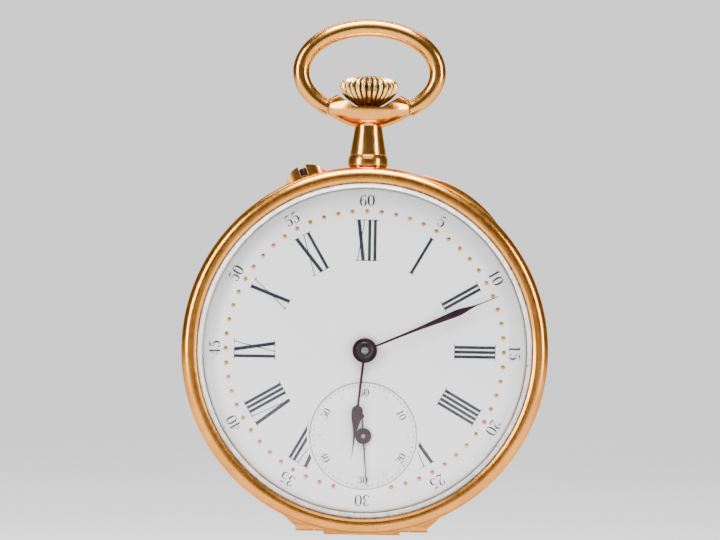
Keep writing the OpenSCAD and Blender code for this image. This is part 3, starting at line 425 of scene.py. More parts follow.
def rod_x(name, r, x0, x1, y, z, chamfer=0.05, steps=48):
    """A rod along X with chamfered ends."""
    rod = lathe(name, [(0, x0), (r - chamfer, x0), (r, x0 + chamfer), (r, x1 - chamfer),
                       (r - chamfer, x1), (0, x1)], steps)
    return moved(rod, Matrix.Translation((0, y, z)) @ Matrix.Rotation(math.radians(90), 4, "Y"))


def box(name, low, high):
    """A box between two corners, used to cut or to join."""
    verts = [(x, y, z) for x in (low[0], high[0]) for y in (low[1], high[1]) for z in (low[2], high[2])]
    faces = [(0, 1, 3, 2), (4, 6, 7, 5), (0, 4, 5, 1), (2, 3, 7, 6), (0, 2, 6, 4), (1, 5, 7, 3)]
    return mesh_of(name, verts, faces)


def prism(name, outline, z0, z1):
    """A closed outline of (x, y) raised from z0 to z1."""
    n = len(outline)
    verts = [(x, y, z0) for x, y in outline] + [(x, y, z1) for x, y in outline]
    faces = [tuple(range(n)), tuple(range(n, 2 * n))]
    faces += [(k, (k + 1) % n, n + (k + 1) % n, n + k) for k in range(n)]
    return mesh_of(name, verts, faces)


def drop(obj):
    mesh = obj.data
    bpy.data.objects.remove(obj)
    bpy.data.meshes.remove(mesh)


def combined(target, tools, operation):
    """target with each tool joined to it, cut from it or kept in common."""
    for tool in tools:
        step = target.modifiers.new("step", "BOOLEAN")
        step.operation, step.solver, step.object = operation, "EXACT", tool
        deps = bpy.context.evaluated_depsgraph_get()
        deps.update()
        mesh = bpy.data.meshes.new_from_object(target.evaluated_get(deps))
        old = target.data
        target.modifiers.clear()
        target.data = mesh
        bpy.data.meshes.remove(old)
        drop(tool)
    return target


def joined(target, *tools):
    return combined(target, tools, "UNION")


def cut(target, *tools):
    return combined(target, tools, "DIFFERENCE")


def gathered(name, parts):
    """Several separate shells as one object."""
    bm = bmesh.new()
    for part in parts:
        bm.from_mesh(part.data)
        drop(part)
    mesh = bpy.data.meshes.new(name)
    bm.to_mesh(mesh)
    bm.free()
    obj = bpy.data.objects.new(name, mesh)
    bpy.context.scene.collection.objects.link(obj)
    return obj


def finish_piece(obj, body, slot, material, *nodes, sharp=32):
    """Takes a piece from the watch's frame to the row frame, and puts it on its body."""
    bm = bmesh.new()
    bm.from_mesh(obj.data)
    bmesh.ops.remove_doubles(bm, verts=bm.verts, dist=1e-4)
    bmesh.ops.dissolve_degenerate(bm, edges=bm.edges, dist=1e-5)
    bm.to_mesh(obj.data)
    bm.free()
    obj.data.transform(LAY)
    obj.data.materials.clear()
    obj.data.materials.append(MAT[material])
    obj.data.polygons.foreach_set("use_smooth", [True] * len(obj.data.polygons))
    obj.data.set_sharp_from_angle(angle=math.radians(sharp))
    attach(obj, body)
    if nodes:
        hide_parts(*nodes)
    return obj


# ------------------------------------------------------------------ hinges
def knuckle_rods(hinge, first, grow=0.0, gap=KNUCKLE_GAP / 2):
    """The tubes of one leaf, or with grow the room for them. The case has 0, 2, 4 and the lid 1, 3."""
    y, z, r, length = hinge
    step = length / KNUCKLES
    return [rod_x("knuckle", r + grow, -length / 2 + k * step + gap, -length / 2 + (k + 1) * step - gap,
                  y, z, 0.07 if not grow else 0.0001) for k in range(first, KNUCKLES, 2)]


def bore(hinge, r):
    y, z, _, length = hinge
    return rod_x("bore", r, -length / 2 - 1, length / 2 + 1, y, z, 0.01)


def hinge_ends():
    """Slanting cut at each end of the back cover's hinge."""
    outline = [(10.7, -21.8), (8.8, -23.5), (8.6, -26), (13, -26), (13, -21.8)]
    return [prism("end", [(side * x, y) for x, y in outline], 0, 7.1) for side in (1, -1)]


# ------------------------------------------------------------------ case
def cover_z(r):
    return 0.0 if r <= FLAT_R else COVER_RISE * ((r - FLAT_R) / (RIM_R - FLAT_R)) ** 4


def cover_curve(last, lift, steps=22):
    """Points of the back's curve from the axis outward."""
    radii = [0.0, FLAT_R - 0.6] + [FLAT_R + (last - FLAT_R) * k / steps for k in range(steps + 1)]
    return [(r, cover_z(r) + lift) for r in radii]


def make_case_middle():
    band = lathe("case_band", [
        (22.2, BAND_Z0), (BAND_R - 0.12, BAND_Z0), (BAND_R, BAND_Z0 + 0.5), (BAND_R + 0.03, 5.7),
        (BAND_R, BAND_Z1 - 0.5), (BAND_R - 0.12, BAND_Z1), (22.37, BAND_Z1), (22.37, LIP_Z),
        (21.35, LIP_Z), (21.35, BAND_Z1), (21.3, BAND_Z1), (21.3, 3.9), (22.2, 3.9)], FINE, 0.08)
    y, z, r, length = BACK_HINGE
    web = box("web", (-length / 2, y, BAND_Z0), (length / 2, y + 3.4, z + r))
    cut(web, lathe("inner", [(0, 3), (22.25, 3), (22.25, 3.86), (21.35, 3.86), (21.35, 9), (0, 9)]))
    joined(band, web, *knuckle_rods(BACK_HINGE, 0), *knuckle_rods(BEZEL_HINGE, 0))
    joined(band, *knuckle_rods(DUST_HINGE, 0))
    for hinge, hole in ((BACK_HINGE, 0.4), (BEZEL_HINGE, 0.27), (DUST_HINGE, 0.17)):
        cut(band, *knuckle_rods(hinge, 1, 0.08, -KNUCKLE_GAP / 2), bore(hinge, hole))
    cut(band, *hinge_ends())
    cut(band, turned_on_stem("stem_hole", [(0, 15), (1.62, 15), (1.62, 25), (0, 25)]))
    cut(band, moved(turned_on_stem("button_hole", [(0, 15), (0.55, 15), (0.55, 25), (0, 25)]), TO_BUTTON))
    finish_piece(band, "case", "case_gold", "gold", "case_middle")


def make_bezel():
    crest = [(22.8 + 1.2 * math.cos(a), 9.3 + 1.4 * math.sin(a))
             for a in (math.radians(6 * k) for k in range(16))]
    profile = [(22.42, 8.15), (23.7, 8.15), (24.0, 8.6)] + crest + [
        (22.35, 10.66), (22.02, 10.5), (21.95, 10.35), (22.25, 10.35), (22.25, 9.9), (21.75, 9.9),
        (21.75, 8.85), (22.42, 8.85)]
    ring = lathe("bezel_ring", profile, FINE, 0.05)
    y, z, r, length = BEZEL_HINGE
    web = box("web", (-length / 2, y - r, z + 0.1), (length / 2, y, z + 0.8))
    cut(web, lathe("inner", [(0, 7), (BAND_R + 0.05, 7), (BAND_R + 0.05, 8.15), (0, 8.15)]))
    joined(ring, web, *knuckle_rods(BEZEL_HINGE, 1))
    cut(ring, *knuckle_rods(BEZEL_HINGE, 0, 0.08, -KNUCKLE_GAP / 2), bore(BEZEL_HINGE, 0.27))
    finish_piece(ring, "glass_bezel", "case_gold", "gold", "bezel")


def make_crystal():
    dome = [(21.3 * k / 24, CASE_T - 1.45 * (k / 24) ** 2) for k in range(24, -1, -1)]
    inner = [(20.9 * k / 24, CASE_T - 0.65 - 1.45 * (20.9 * k / 24 / 21.3) ** 2) for k in range(25)]
    glass = lathe("crystal_dome", [(22.2, 9.95), (22.2, 10.3),
                                   (21.88, 10.3)] + dome + inner + [(21.5, 9.95)], FINE)
    finish_piece(glass, "glass_bezel", "crystal_glass", "glass", "crystal", sharp=50)
    # A milky ring at the glass's edge, partly cement, whose grey is partly painted light refracted in the
    # glass's edge.
    ring = lathe("crystal_bevel", [(21.42, 9.93), (21.74, 9.93), (21.86, 10.32), (21.36, 10.92),
                                   (21.2, 10.9)],
                 FINE, 0.03)
    finish_piece(ring, "glass_bezel", "crystal_glass", "bevel")
    # A thin dark ring between the bezel and the glass: painted shade where the bezel's edge shadows the
    # glass.
    seam = lathe("crystal_seam", [(21.80, 10.36), (21.97, 10.36), (21.97, 10.44), (21.80, 10.44)], FINE)
    finish_piece(seam, "glass_bezel", "crystal_glass", "painted_seam_shade")


def make_back_cover():
    outer = cover_curve(RIM_R - 0.12, 0.0)
    inner = [(r, z) for r, z in reversed(cover_curve(22.3, 0.5))]
    shell = lathe("back_shell", outer + [(RIM_R, COVER_RISE - 0.1), (RIM_R - 0.06, COVER_RISE),
                                         (23.1, COVER_RISE)] + inner, FINE)
    hollow = [(0, 1.0), (RIM_R - 0.5, 1.0), (RIM_R - 0.5, 4.2), (0, 4.2)]
    lip = lathe("lip", [(0, 2.5), (15.9, 2.5), (16, 2.6), (16, 3.05), (15.9, 3.15), (0, 3.15)])
    moved(lip, Matrix.Rotation(math.radians(59), 4, "Z") @ Matrix.Translation((8.66, 0, 0)))
    cut(lip, lathe("inner", hollow))
    y, z, r, length = BACK_HINGE
    web = box("web", (-length / 2, y, 2.4), (length / 2, y + 3.4, 3.15))
    cut(web, lathe("inner", hollow))
    joined(shell, lip, web, *knuckle_rods(BACK_HINGE, 1))
    cut(shell, *knuckle_rods(BACK_HINGE, 0, 0.08, -KNUCKLE_GAP / 2), bore(BACK_HINGE, 0.4), *hinge_ends())
    y, z, r, length = DUST_HINGE
    cut(shell, rod_x("room", r + 0.08, -length / 2 - 0.2, length / 2 + 0.2, y, z, 0.01))
    finish_piece(shell, "back", "case_gold", "gold", "back_cover")


def make_dust_cover():
    outer = cover_curve(21.2, 0.85)
    inner = [(r, z) for r, z in reversed(cover_curve(21.2, 1.2))]
    shell = lathe("dust_shell", outer + [(22.1, 2.85), (22.1, 3.66), (22.06, 3.7), (21.75, 3.7), (21.75, 3.1)]
                  + inner, FINE)
    joined(shell, *knuckle_rods(DUST_HINGE, 1))
    cut(shell, *knuckle_rods(DUST_HINGE, 0, 0.08, -KNUCKLE_GAP / 2), bore(DUST_HINGE, 0.17))
    finish_piece(shell, "dust", "dust_brass", "dust_brass", "dust_cover")


# ------------------------------------------------------------------ pendant, bow, crown, button
def make_pendant():
    half = [(2.85, 0), (2.83, 0.6), (2.75, 1.2), (2.64, 1.7), (2.5, 2.2), (2.32, 2.75), (2.1, 3.3),
            (1.9, 3.75),
            (1.68, 4.2), (1.48, 4.55), (1.3, 4.9), (1.16, 5.14), (1.05, 5.3), (0.96, 5.39), (0.85, 5.42),
            (0, 5.42)]
    head = lathe("pendant_head", [(r, -x) for r, x in reversed(half)] + half[1:], ROUND)
    moved(head, Matrix.Translation((0, PIVOT_Y, STEM_Z)) @ Matrix.Rotation(math.radians(90), 4, "Y"))
    neck = turned_on_stem("neck", [(0, 21.6), (1.6, 21.6), (1.6, 25.65), (2.38, 25.65), (2.4, 25.72),
                                   (2.3, 26.2),
                                   (1.8, 29.2), (1.79, 29.5), (1.85, 29.7), (2.2, 30.6), (0, 31.2)], ROUND,
                                   0.04)
    joined(head, neck)
    cut(head, turned_on_stem("bore", [(0, 20), (0.85, 20), (0.85, 35), (0, 35)]))
    notch = soften([(-1.75, 31.95), (1.75, 31.95), (4.25, 33.55), (4.25, 37.5), (-4.25, 37.5),
                    (-4.25, 33.55)], 0.25)
    cut(head, prism("notch", notch, 0, CASE_T))
    for x0, x1 in ((-6.4, -4.0), (4.0, 6.4)):
        cut(head, rod_x("ear", 0.6, x0, x1, PIVOT_Y, STEM_Z))
    finish_piece(head, "case", "case_gold", "bow_gold", "pendant")


def make_collar():
    ring = turned_on_stem("pendant_ring", [(1.62, 22.5), (2.45, 22.5), (2.45, 24.0), (2.6, 24.28),
                                           (2.62, 24.7),
                                           (2.6, 25.1), (2.42, 25.6), (1.62, 25.6)], ROUND, 0.07)
    cut(ring, lathe("inner", [(0, 0), (BAND_R + 0.02, 0), (BAND_R + 0.02, 12), (0, 12)]))
    finish_piece(ring, "case", "case_gold", "bow_gold", "pendant_collar")


def make_bow():
    """A round wire swept along an ellipse, a little thicker at the top, with a trunnion at each end."""
    rings, sides = 160, 40
    last = math.acos(5.5 / BOW_A)
    verts, faces = [], []
    for i in range(rings + 1):
        t = -last + (math.pi + 2 * last) * i / rings
        n = Vector((BOW_B * math.cos(t), BOW_A * math.sin(t))).normalized()
        if i in (0, rings):
            n = Vector((0, 1 / n.y))
        r = BOW_R + 0.05 * math.sin(t)
        for k in range(sides):
            f = 2 * math.pi * k / sides
            verts.append((BOW_A * math.cos(t) + r * n.x * math.cos(f),
                          BOW_Y + BOW_B * math.sin(t) + r * n.y * math.cos(f), STEM_Z + r * math.sin(f)))
    for i in range(rings):
        for k in range(sides):
            a, b, m = i * sides, (i + 1) * sides, (k + 1) % sides
            faces.append((a + k, a + m, b + m, b + k))
    faces += [tuple(range(sides)), tuple(rings * sides + k for k in range(sides))]
    wire = mesh_of("bow_loop", verts, faces)
    joined(wire, rod_x("ear", 0.55, 4.1, 6.0, PIVOT_Y, STEM_Z),
           rod_x("ear", 0.55, -6.0, -4.1, PIVOT_Y, STEM_Z))
    finish_piece(wire, "bow_ring", "case_gold", "bow_gold", "bow", sharp=50)


def make_crown():
    """The winding crown: rounded ridges with a groove between each two, and a domed top."""
    base = [(0.8, 32.05), (1.4, 32.05), (1.75, 32.2), (2.05, 32.4), (2.5, 32.7), (2.9, 33.0), (3.2, 33.28),
            (3.45, 33.58), (3.65, 33.9), (3.78, 34.2), (3.85, 34.5), (3.83, 34.8), (3.72, 35.1), (3.5, 35.4),
            (3.2, 35.63), (2.75, 35.83), (2.1, 35.97), (1.2, 36.06), (0, 36.1), (0, 34.3), (0.8, 34.3)]
    knob = turned_on_stem("crown_knob", base, FLUTES * 16)
    worn = knob.data.attributes.new("groove", "FLOAT", "POINT")
    for i, v in enumerate(knob.data.vertices):
        x, z = v.co.x, v.co.z - STEM_Z
        r = math.hypot(x, z)
        if r < FLUTE_R:
            continue
        valley = (1 - abs(math.cos(FLUTES / 2 * math.atan2(z, x)))) ** 0.9
        depth = FLUTE_DEPTH * valley * min(1.0, (r - FLUTE_R) / FLUTE_R)
        worn.data[i].value = valley
        v.co.x, v.co.z = x * (r - depth) / r, STEM_Z + z * (r - depth) / r
    finish_piece(knob, "winder", "crown_gold", "crown_gold", "crown", sharp=70)


def make_button_guard():
    """The slotted hood over the setting button."""
    width, rise, depth = 5.9, 2.05, 3.5
    arc_r = (width * width / 4 + rise * rise) / (2 * rise)
    arc = moved(lathe("button_hood", [(0, 0), (arc_r, 0), (arc_r, CASE_T), (0, CASE_T)], FINE),
                Matrix.Translation((0, BAND_R + rise - arc_r, 0)))
    half = (width - depth) / 2
    side = [(half + depth / 2 * math.cos(a), depth / 2 * math.sin(a))
            for a in (math.radians(-90 + 7.5 * k) for k in range(25))]
    side += [(-x, -y) for x, y in side]
    plug = moved(prism("plug", side, 0, 6), Matrix.Translation((0, BEZEL_R + 3, STEM_Z))
                 @ Matrix.Rotation(math.radians(90), 4, "X"))
    combined(arc, [plug], "INTERSECT")
    cut(arc, lathe("inner", [(0, -1), (BAND_R + 0.02, -1), (BAND_R + 0.02, 13), (0, 13)]))
    cut(arc, box("slot", (-0.53, BAND_R + 0.65, 0), (0.53, BAND_R + 4, CASE_T)))
    cut(arc, turned_on_stem("bore", [(0, 20), (0.55, 20), (0.55, 27), (0, 27)], 48))
    bevel = arc.modifiers.new("edge", "BEVEL")
    bevel.width, bevel.segments, bevel.limit_method, bevel.angle_limit = 0.07, 2, "ANGLE", math.radians(40)
    moved(arc, TO_BUTTON)
    finish_piece(arc, "case", "case_gold", "bow_gold", "button_guard", sharp=40)


def make_button():
    pin = turned_on_stem("button_pin", [(0, 19.75), (0.45, 19.75), (0.5, 19.8), (0.5, 25.1), (0.46, 25.22),
                                        (0.34, 25.29), (0, 25.3)], 48)
    moved(pin, TO_BUTTON)
    finish_piece(pin, "button", "button_steel", "button", "setting_button")


# ------------------------------------------------------------------ dial
def turn_clock(degrees, centre=(0, 0)):
    """Turns a shape drawn at 12 o'clock to that angle clockwise, about a centre."""
    return Matrix.Translation((*centre, 0)) @ Matrix.Rotation(-math.radians(degrees), 4, "Z")


def make_dial():
    edge = 0.18
    plate = lathe("dial_plate", [
        (1.05, 8.75), (DIAL_R, 8.75), (DIAL_R, DIAL_Z - edge), (DIAL_R - 0.1, DIAL_Z - 0.04),
        (DIAL_R - 0.35, DIAL_Z),
        (1.25, DIAL_Z), (1.1, DIAL_Z - 0.06), (1.05, DIAL_Z - 0.15)], FINE)
    hole = lathe("hole", [(0, 8), (SECONDS_R + 0.02, 8), (SECONDS_R + 0.02, DIAL_Z - 0.12),
                          (SECONDS_R + 0.05, DIAL_Z - 0.04), (SECONDS_R + 0.16, DIAL_Z + 0.01),
                          (SECONDS_R + 0.16, 10), (0, 10)], 192)
    cut(plate, moved(hole, Matrix.Translation((0, SECONDS_Y, 0))))
    finish_piece(plate, "case", "enamel", "enamel", "dial", sharp=55)
    small = lathe("seconds_plate", [(0.35, 8.75), (SECONDS_R, 8.75), (SECONDS_R, SECONDS_Z - 0.08),
                                    (SECONDS_R - 0.08, SECONDS_Z), (0.42, SECONDS_Z),
                                    (0.35, SECONDS_Z - 0.06)], 192)
    moved(small, Matrix.Translation((0, SECONDS_Y, 0)))
    finish_piece(small, "case", "enamel", "enamel", "seconds_dial", sharp=55)


def quad(name, points, z, height=INK_H):
    return prism(name, points, z, z + height)


def stroke(x_low, x_high, y_low, y_high, width):
    """A straight stroke of that width across, between two levels."""
    return [(x_low - width / 2, y_low), (x_low + width / 2, y_low),
            (x_high + width / 2, y_high), (x_high - width / 2, y_high)]


THICK, HAIR, SERIF = 0.46, 0.11, 0.09
ROMAN_LOW, ROMAN_HIGH = 11.7, 17.1


def roman_strokes(text):
    """Strokes of a Roman numeral set upright about X = 0, each an outline of four points."""
    widths = {"I": 0.62, "V": 1.75, "X": 1.95}
    total = sum(widths[c] for c in text)
    if text == "XII":
        widths = {"I": 0.72, "X": 1.5}
        total = 2.94
    x, out = -total / 2, []
    low, high = ROMAN_LOW, ROMAN_HIGH
    for c in text:
        w = widths[c]
        mid = x + w / 2
        if c == "I":
            out.append(stroke(mid, mid, low, high, THICK * 0.86))
            out.append(stroke(mid, mid, low, low + SERIF, w + 0.32))
            out.append(stroke(mid, mid, high - SERIF, high, w + 0.32))
        elif c == "V":
            lean = w / 2 - 0.3
            out.append(stroke(mid + 0.05, mid - lean, low, high, THICK))
            out.append(stroke(mid + 0.05, mid + lean, low, high, HAIR))
            out.append(stroke(mid - lean, mid - lean, high - SERIF, high, 0.85))
            out.append(stroke(mid + lean, mid + lean, high - SERIF, high, 0.6))
        else:
            lean, thick_lean = w / 2 - 0.3, w * 0.215
            out.append(stroke(mid + thick_lean, mid - thick_lean, low, high, THICK))
            out.append(stroke(mid - lean, mid + lean, low, high, HAIR))
            for side, level in ((-thick_lean, high - SERIF), (thick_lean, low)):
                out.append(stroke(mid + side, mid + side, level, level + SERIF, 0.85))
            for side, level in ((lean, high - SERIF), (-lean, low)):
                out.append(stroke(mid + side, mid + side, level, level + SERIF, 0.6))
        x += w
    return out


def make_hours():
    names = ["XII", "I", "II", "III", "IIII", "V", "", "VII", "VIII", "IX", "X", "XI"]
    parts = []
    for hour, text in enumerate(names):
        for k, points in enumerate(roman_strokes(text) if text else []):
            # bars and serifs end at slightly different heights, so that no two tops share a plane
            shell = quad("stroke", points, DIAL_Z - 0.01, INK_H + 0.01 - 0.001 * (k % 5))
            parts.append(moved(shell, turn_clock(hour * 30)))
    hours = gathered("hour_numerals", parts)
    cut_out = lathe("sunk", [(0, 9), (SECONDS_R + 0.3, 9), (SECONDS_R + 0.3, 11), (0, 11)], 192)
    cut(hours, moved(cut_out, Matrix.Translation((0, SECONDS_Y, 0))))
    finish_piece(hours, "case", "enamel", "ink")


# Digits as pen paths in a box 0.62 wide and 1 high: each point is (x, y, width of the pen)
DIGITS = {
    "0": [[(0.31, 0.985, 0.03), (0.17, 0.90, 0.10), (0.085, 0.70, 0.16), (0.075, 0.50, 0.17),
           (0.085, 0.30, 0.16),
           (0.17, 0.10, 0.10), (0.31, 0.015, 0.03), (0.45, 0.10, 0.10), (0.535, 0.30, 0.16),
           (0.545, 0.50, 0.17),
           (0.535, 0.70, 0.16), (0.45, 0.90, 0.10), (0.31, 0.985, 0.03)]],
    "1": [[(0.32, 0.02, 0.17), (0.32, 0.98, 0.17)], [(0.12, 0.02, 0.05), (0.52, 0.02, 0.05)],
          [(0.12, 0.84, 0.04), (0.22, 0.88, 0.05), (0.32, 0.97, 0.06)]],
    "2": [[(0.12, 0.72, 0.15), (0.12, 0.80, 0.13), (0.18, 0.93, 0.06), (0.32, 0.985, 0.04),
           (0.46, 0.91, 0.12),
           (0.50, 0.74, 0.16), (0.44, 0.56, 0.12), (0.26, 0.33, 0.05), (0.10, 0.13, 0.04),
           (0.06, 0.04, 0.04)],
          [(0.07, 0.07, 0.05), (0.20, 0.10, 0.12), (0.36, 0.05, 0.12), (0.50, 0.05, 0.09),
           (0.55, 0.20, 0.04)]],
    "3": [[(0.12, 0.78, 0.14), (0.13, 0.86, 0.10), (0.22, 0.97, 0.04), (0.36, 0.97, 0.07), (0.46, 0.86, 0.14),
           (0.46, 0.70, 0.14), (0.36, 0.55, 0.05), (0.24, 0.52, 0.04)],
          [(0.26, 0.53, 0.04), (0.40, 0.48, 0.08), (0.50, 0.34, 0.16), (0.48, 0.15, 0.14), (0.34, 0.03, 0.06),
           (0.20, 0.03, 0.04), (0.11, 0.13, 0.10), (0.12, 0.22, 0.14)]],
    "4": [[(0.42, 0.02, 0.15), (0.42, 0.98, 0.13)], [(0.40, 0.96, 0.04), (0.22, 0.62, 0.04),
                                                     (0.04, 0.29, 0.04)],
          [(0.03, 0.27, 0.05), (0.60, 0.27, 0.05)], [(0.27, 0.02, 0.04), (0.57, 0.02, 0.04)]],
    "5": [[(0.14, 0.53, 0.04), (0.14, 0.93, 0.04)], [(0.13, 0.93, 0.05), (0.28, 0.91, 0.12),
                                                     (0.50, 0.96, 0.06)],
          [(0.14, 0.54, 0.04), (0.30, 0.62, 0.05), (0.46, 0.52, 0.13), (0.51, 0.34, 0.17), (0.46, 0.13, 0.13),
           (0.32, 0.02, 0.05), (0.17, 0.05, 0.05), (0.11, 0.15, 0.11), (0.13, 0.22, 0.13)]],
    "6": [[(0.49, 0.80, 0.12), (0.47, 0.90, 0.08), (0.35, 0.985, 0.03), (0.20, 0.88, 0.08),
           (0.10, 0.66, 0.14),
           (0.08, 0.42, 0.17), (0.12, 0.18, 0.14), (0.22, 0.05, 0.07), (0.32, 0.015, 0.03),
           (0.45, 0.08, 0.10),
           (0.52, 0.26, 0.16), (0.48, 0.46, 0.12), (0.34, 0.57, 0.04), (0.20, 0.50, 0.04),
           (0.13, 0.40, 0.04)]],
}
DIGIT_W = 0.62


def smooth_path(points, steps=5):
    """Catmull-Rom points through a pen path, in which a pen of two points stays straight."""
    if len(points) == 2:
        return points
    out, last = [], len(points) - 1
    for i in range(last):
        p0, p1, p2, p3 = (points[max(i - 1, 0)], points[i], points[i + 1], points[min(i + 2, last)])
        for k in range(steps):
            t = k / steps
            out.append(tuple(0.5 * (2 * b + (c - a) * t + (2 * a - 5 * b + 4 * c - d) * t * t
                                    + (3 * b - a - 3 * c + d) * t ** 3)
                             for a, b, c, d in zip(p0, p1, p2, p3)))
    return out + [points[-1]]


def ribbon(points, z, height):
    """A thin raised band along a pen path."""
    verts, faces = [], []
    for i, (x, y, w) in enumerate(points):
        ax, ay = points[max(i - 1, 0)][:2]
        bx, by = points[min(i + 1, len(points) - 1)][:2]
        size = math.hypot(bx - ax, by - ay) or 1.0
        nx, ny = -(by - ay) / size * w / 2, (bx - ax) / size * w / 2
        for level in (z, z + height):
            verts += [(x - nx, y - ny, level), (x + nx, y + ny, level)]
    for i in range(len(points) - 1):
        a, b = 4 * i, 4 * i + 4
        faces += [(a, a + 1, b + 1, b), (a + 2, b + 2, b + 3, a + 3), (a, b, b + 2, a + 2),
                  (a + 1, a + 3, b + 3, b + 1)]
    end = 4 * (len(points) - 1)
    faces += [(0, 2, 3, 1), (end, end + 1, end + 3, end + 2)]
    return mesh_of("ribbon", verts, faces)


def number_shells(text, size, width, z):
    """The shells of a number centred on the origin, of that height, with its digits set side by side."""
    parts, step = [], width / len(text)
    for i, c in enumerate(text):
        x0 = -width / 2 + step * (i + 0.5) - DIGIT_W * size / 2
        for k, path in enumerate(DIGITS[c]):
            pen = [(x0 + x * size, (y - 0.5) * size, w * size) for x, y, w in smooth_path(path)]
            parts.append(ribbon(pen, z - 0.01, INK_H + 0.01 - 0.0015 * k))
    return parts


def make_minutes():
    parts = []
    for minute in range(5, 65, 5):
        text = str(minute)
        place = turn_clock(minute * 6) @ Matrix.Translation((0, 19.62, 0))
        parts += [moved(p, place) for p in number_shells(text, 1.5, 1.02 * len(text), DIAL_Z)]
    finish_piece(gathered("minute_numerals", parts), "case", "enamel", "minute_ink")


def make_seconds_numerals():
    parts = []
    for second in (60, 10, 20, 30, 40, 50):
        place = turn_clock(second * 6, (0, SECONDS_Y)) @ Matrix.Translation((0, 5.72, 0))
        if second in (20, 30, 40):
            place = place @ Matrix.Rotation(math.pi, 4, "Z")
        parts += [moved(p, place) for p in number_shells(str(second), 1.0, 1.34, SECONDS_Z)]
    finish_piece(gathered("seconds_numerals", parts), "case", "enamel", "minute_ink")


def bead(r, height, sides=20):
    """A low domed bead on the plane Z = 0."""
    profile = [(0, -0.02), (r, -0.02), (r, 0.0), (r * 0.92, height * 0.45), (r * 0.7, height * 0.8),
               (r * 0.38, height * 0.96), (0, height)]
    return lathe("bead", profile, sides)


def make_dots():
    parts = []
    for k in range(60):
        angle = math.radians(6 * k)
        x, y = 18.2 * math.sin(angle), 18.2 * math.cos(angle)
        if math.hypot(x, y - SECONDS_Y) < SECONDS_R + 0.12:
            continue
        r = 0.31 if math.hypot(x, y - SECONDS_Y) > SECONDS_R + 0.5 else 0.24
        parts.append(moved(bead(r, 0.09), Matrix.Translation((x, y, DIAL_Z))))
    finish_piece(gathered("minute_dots", parts), "case", "enamel", "dot_gold")
    parts = []
    for k in range(60):
        place = turn_clock(6 * k, (0, SECONDS_Y)) @ Matrix.Translation((0, 6.56, SECONDS_Z))
        parts.append(moved(bead(0.105, 0.03, 10), place))
    for k in range(1, 12, 2):
        for along, across in ((0.22, 0), (-0.22, 0), (0, 0.2), (0, -0.2)):
            place = turn_clock(30 * k, (0, SECONDS_Y)) @ Matrix.Translation((across, 5.8 + along, SECONDS_Z))
            parts.append(moved(bead(0.075, 0.03, 10), place))
    finish_piece(gathered("seconds_dots", parts), "case", "enamel", "dot_gold")
    ring = lathe("seconds_ring", [(6.95, SECONDS_Z - 0.01), (7.0, SECONDS_Z - 0.01), (7.0, SECONDS_Z + 0.012),
                                  (6.95, SECONDS_Z + 0.012)], 192)
    finish_piece(moved(ring, Matrix.Translation((0, SECONDS_Y, 0))), "case", "enamel", "line_ink")


# ------------------------------------------------------------------ hands
def blade(name, stations, z0, z1, crown=0.05):
    """A hand's blade: (distance along, half width) stations with a softly domed top."""
    verts, faces, sides = [], [], 8
    for y, w in stations:
        for x, z in ((-w, z0), (w, z0), (w, z1 - crown), (w * 0.72, z1 - crown * 0.3), (w * 0.3, z1),
                     (-w * 0.3, z1), (-w * 0.72, z1 - crown * 0.3), (-w, z1 - crown)):
            verts.append((x, y, z))
    for i in range(len(stations) - 1):
        for k in range(sides):
            a, b, m = i * sides, (i + 1) * sides, (k + 1) % sides
            faces.append((a + k, a + m, b + m, b + k))
    faces += [tuple(range(sides)), tuple((len(stations) - 1) * sides + k for k in range(sides))]
    return mesh_of(name, verts, faces)


def eased(stations, steps=6):
    """Stations with a smooth width between them."""
    path = smooth_path([(y, w, 0.0) for y, w in stations], steps)
    return [(y, max(w, 0.02)) for y, w, _ in path]


def make_minute_hand():
    edge = eased([(0, 0.14), (2, 0.14), (7, 0.2), (10, 0.33), (12.75, 0.45), (13.7, 0.4), (14.8, 0.22),
                  (16, 0.09),
                  (18.6, 0.06), (19, 0.02)])
    hand = blade("minute_blade", edge, 10.2, 10.38)
    disc = lathe("disc", [(0, 10.2), (1.58, 10.2), (1.63, 10.25), (1.63, 10.33), (1.58, 10.38),
                          (0, 10.38)], ROUND)
    joined(hand, disc)
    cut(hand, lathe("hole", [(0, 10), (0.47, 10), (0.47, 11), (0, 11)], 48))
    turn = turn_clock(MINUTE_ANGLE)
    finish_piece(moved(hand, turn), "center", "blued_steel", "hand", "minute_hand")
    boss = lathe("minute_boss", [(0.47, 10.3), (1.13, 10.3), (1.13, 10.42), (1.06, 10.52), (0.9, 10.59),
                                 (0.62, 10.6), (0.47, 10.57)], ROUND)
    finish_piece(moved(boss, turn), "center", "blued_steel", "hub")


def make_hour_hand():
    stem = blade("hour_stem", eased([(0, 0.175), (4, 0.17), (7, 0.175), (7.35, 0.28), (7.6, 0.42)], 4),
                 9.8, 9.95, 0.04)
    bulb = moved(lathe("bulb", [(0, 9.8), (0.73, 9.8), (0.76, 9.84), (0.74, 9.9), (0.6, 9.94), (0, 9.95)],
                       64),
                 Matrix.Translation((0, 8, 0)))
    tip = blade("tip", eased([(8.2, 0.75), (8.7, 0.71), (9.2, 0.6), (10.3, 0.32), (11.4, 0.14), (14, 0.03)]),
                9.8, 9.945, 0.04)
    disc = lathe("disc", [(0, 9.8), (1.55, 9.8), (1.6, 9.84), (1.6, 9.91), (1.55, 9.95), (0, 9.95)], ROUND)
    joined(stem, bulb, tip, disc)
    cut(stem, lathe("hole", [(0, 9), (0.97, 9), (0.97, 11), (0, 11)], 64))
    finish_piece(moved(stem, turn_clock(HOUR_ANGLE)), "hour_work", "blued_steel", "hand", "hour_hand")


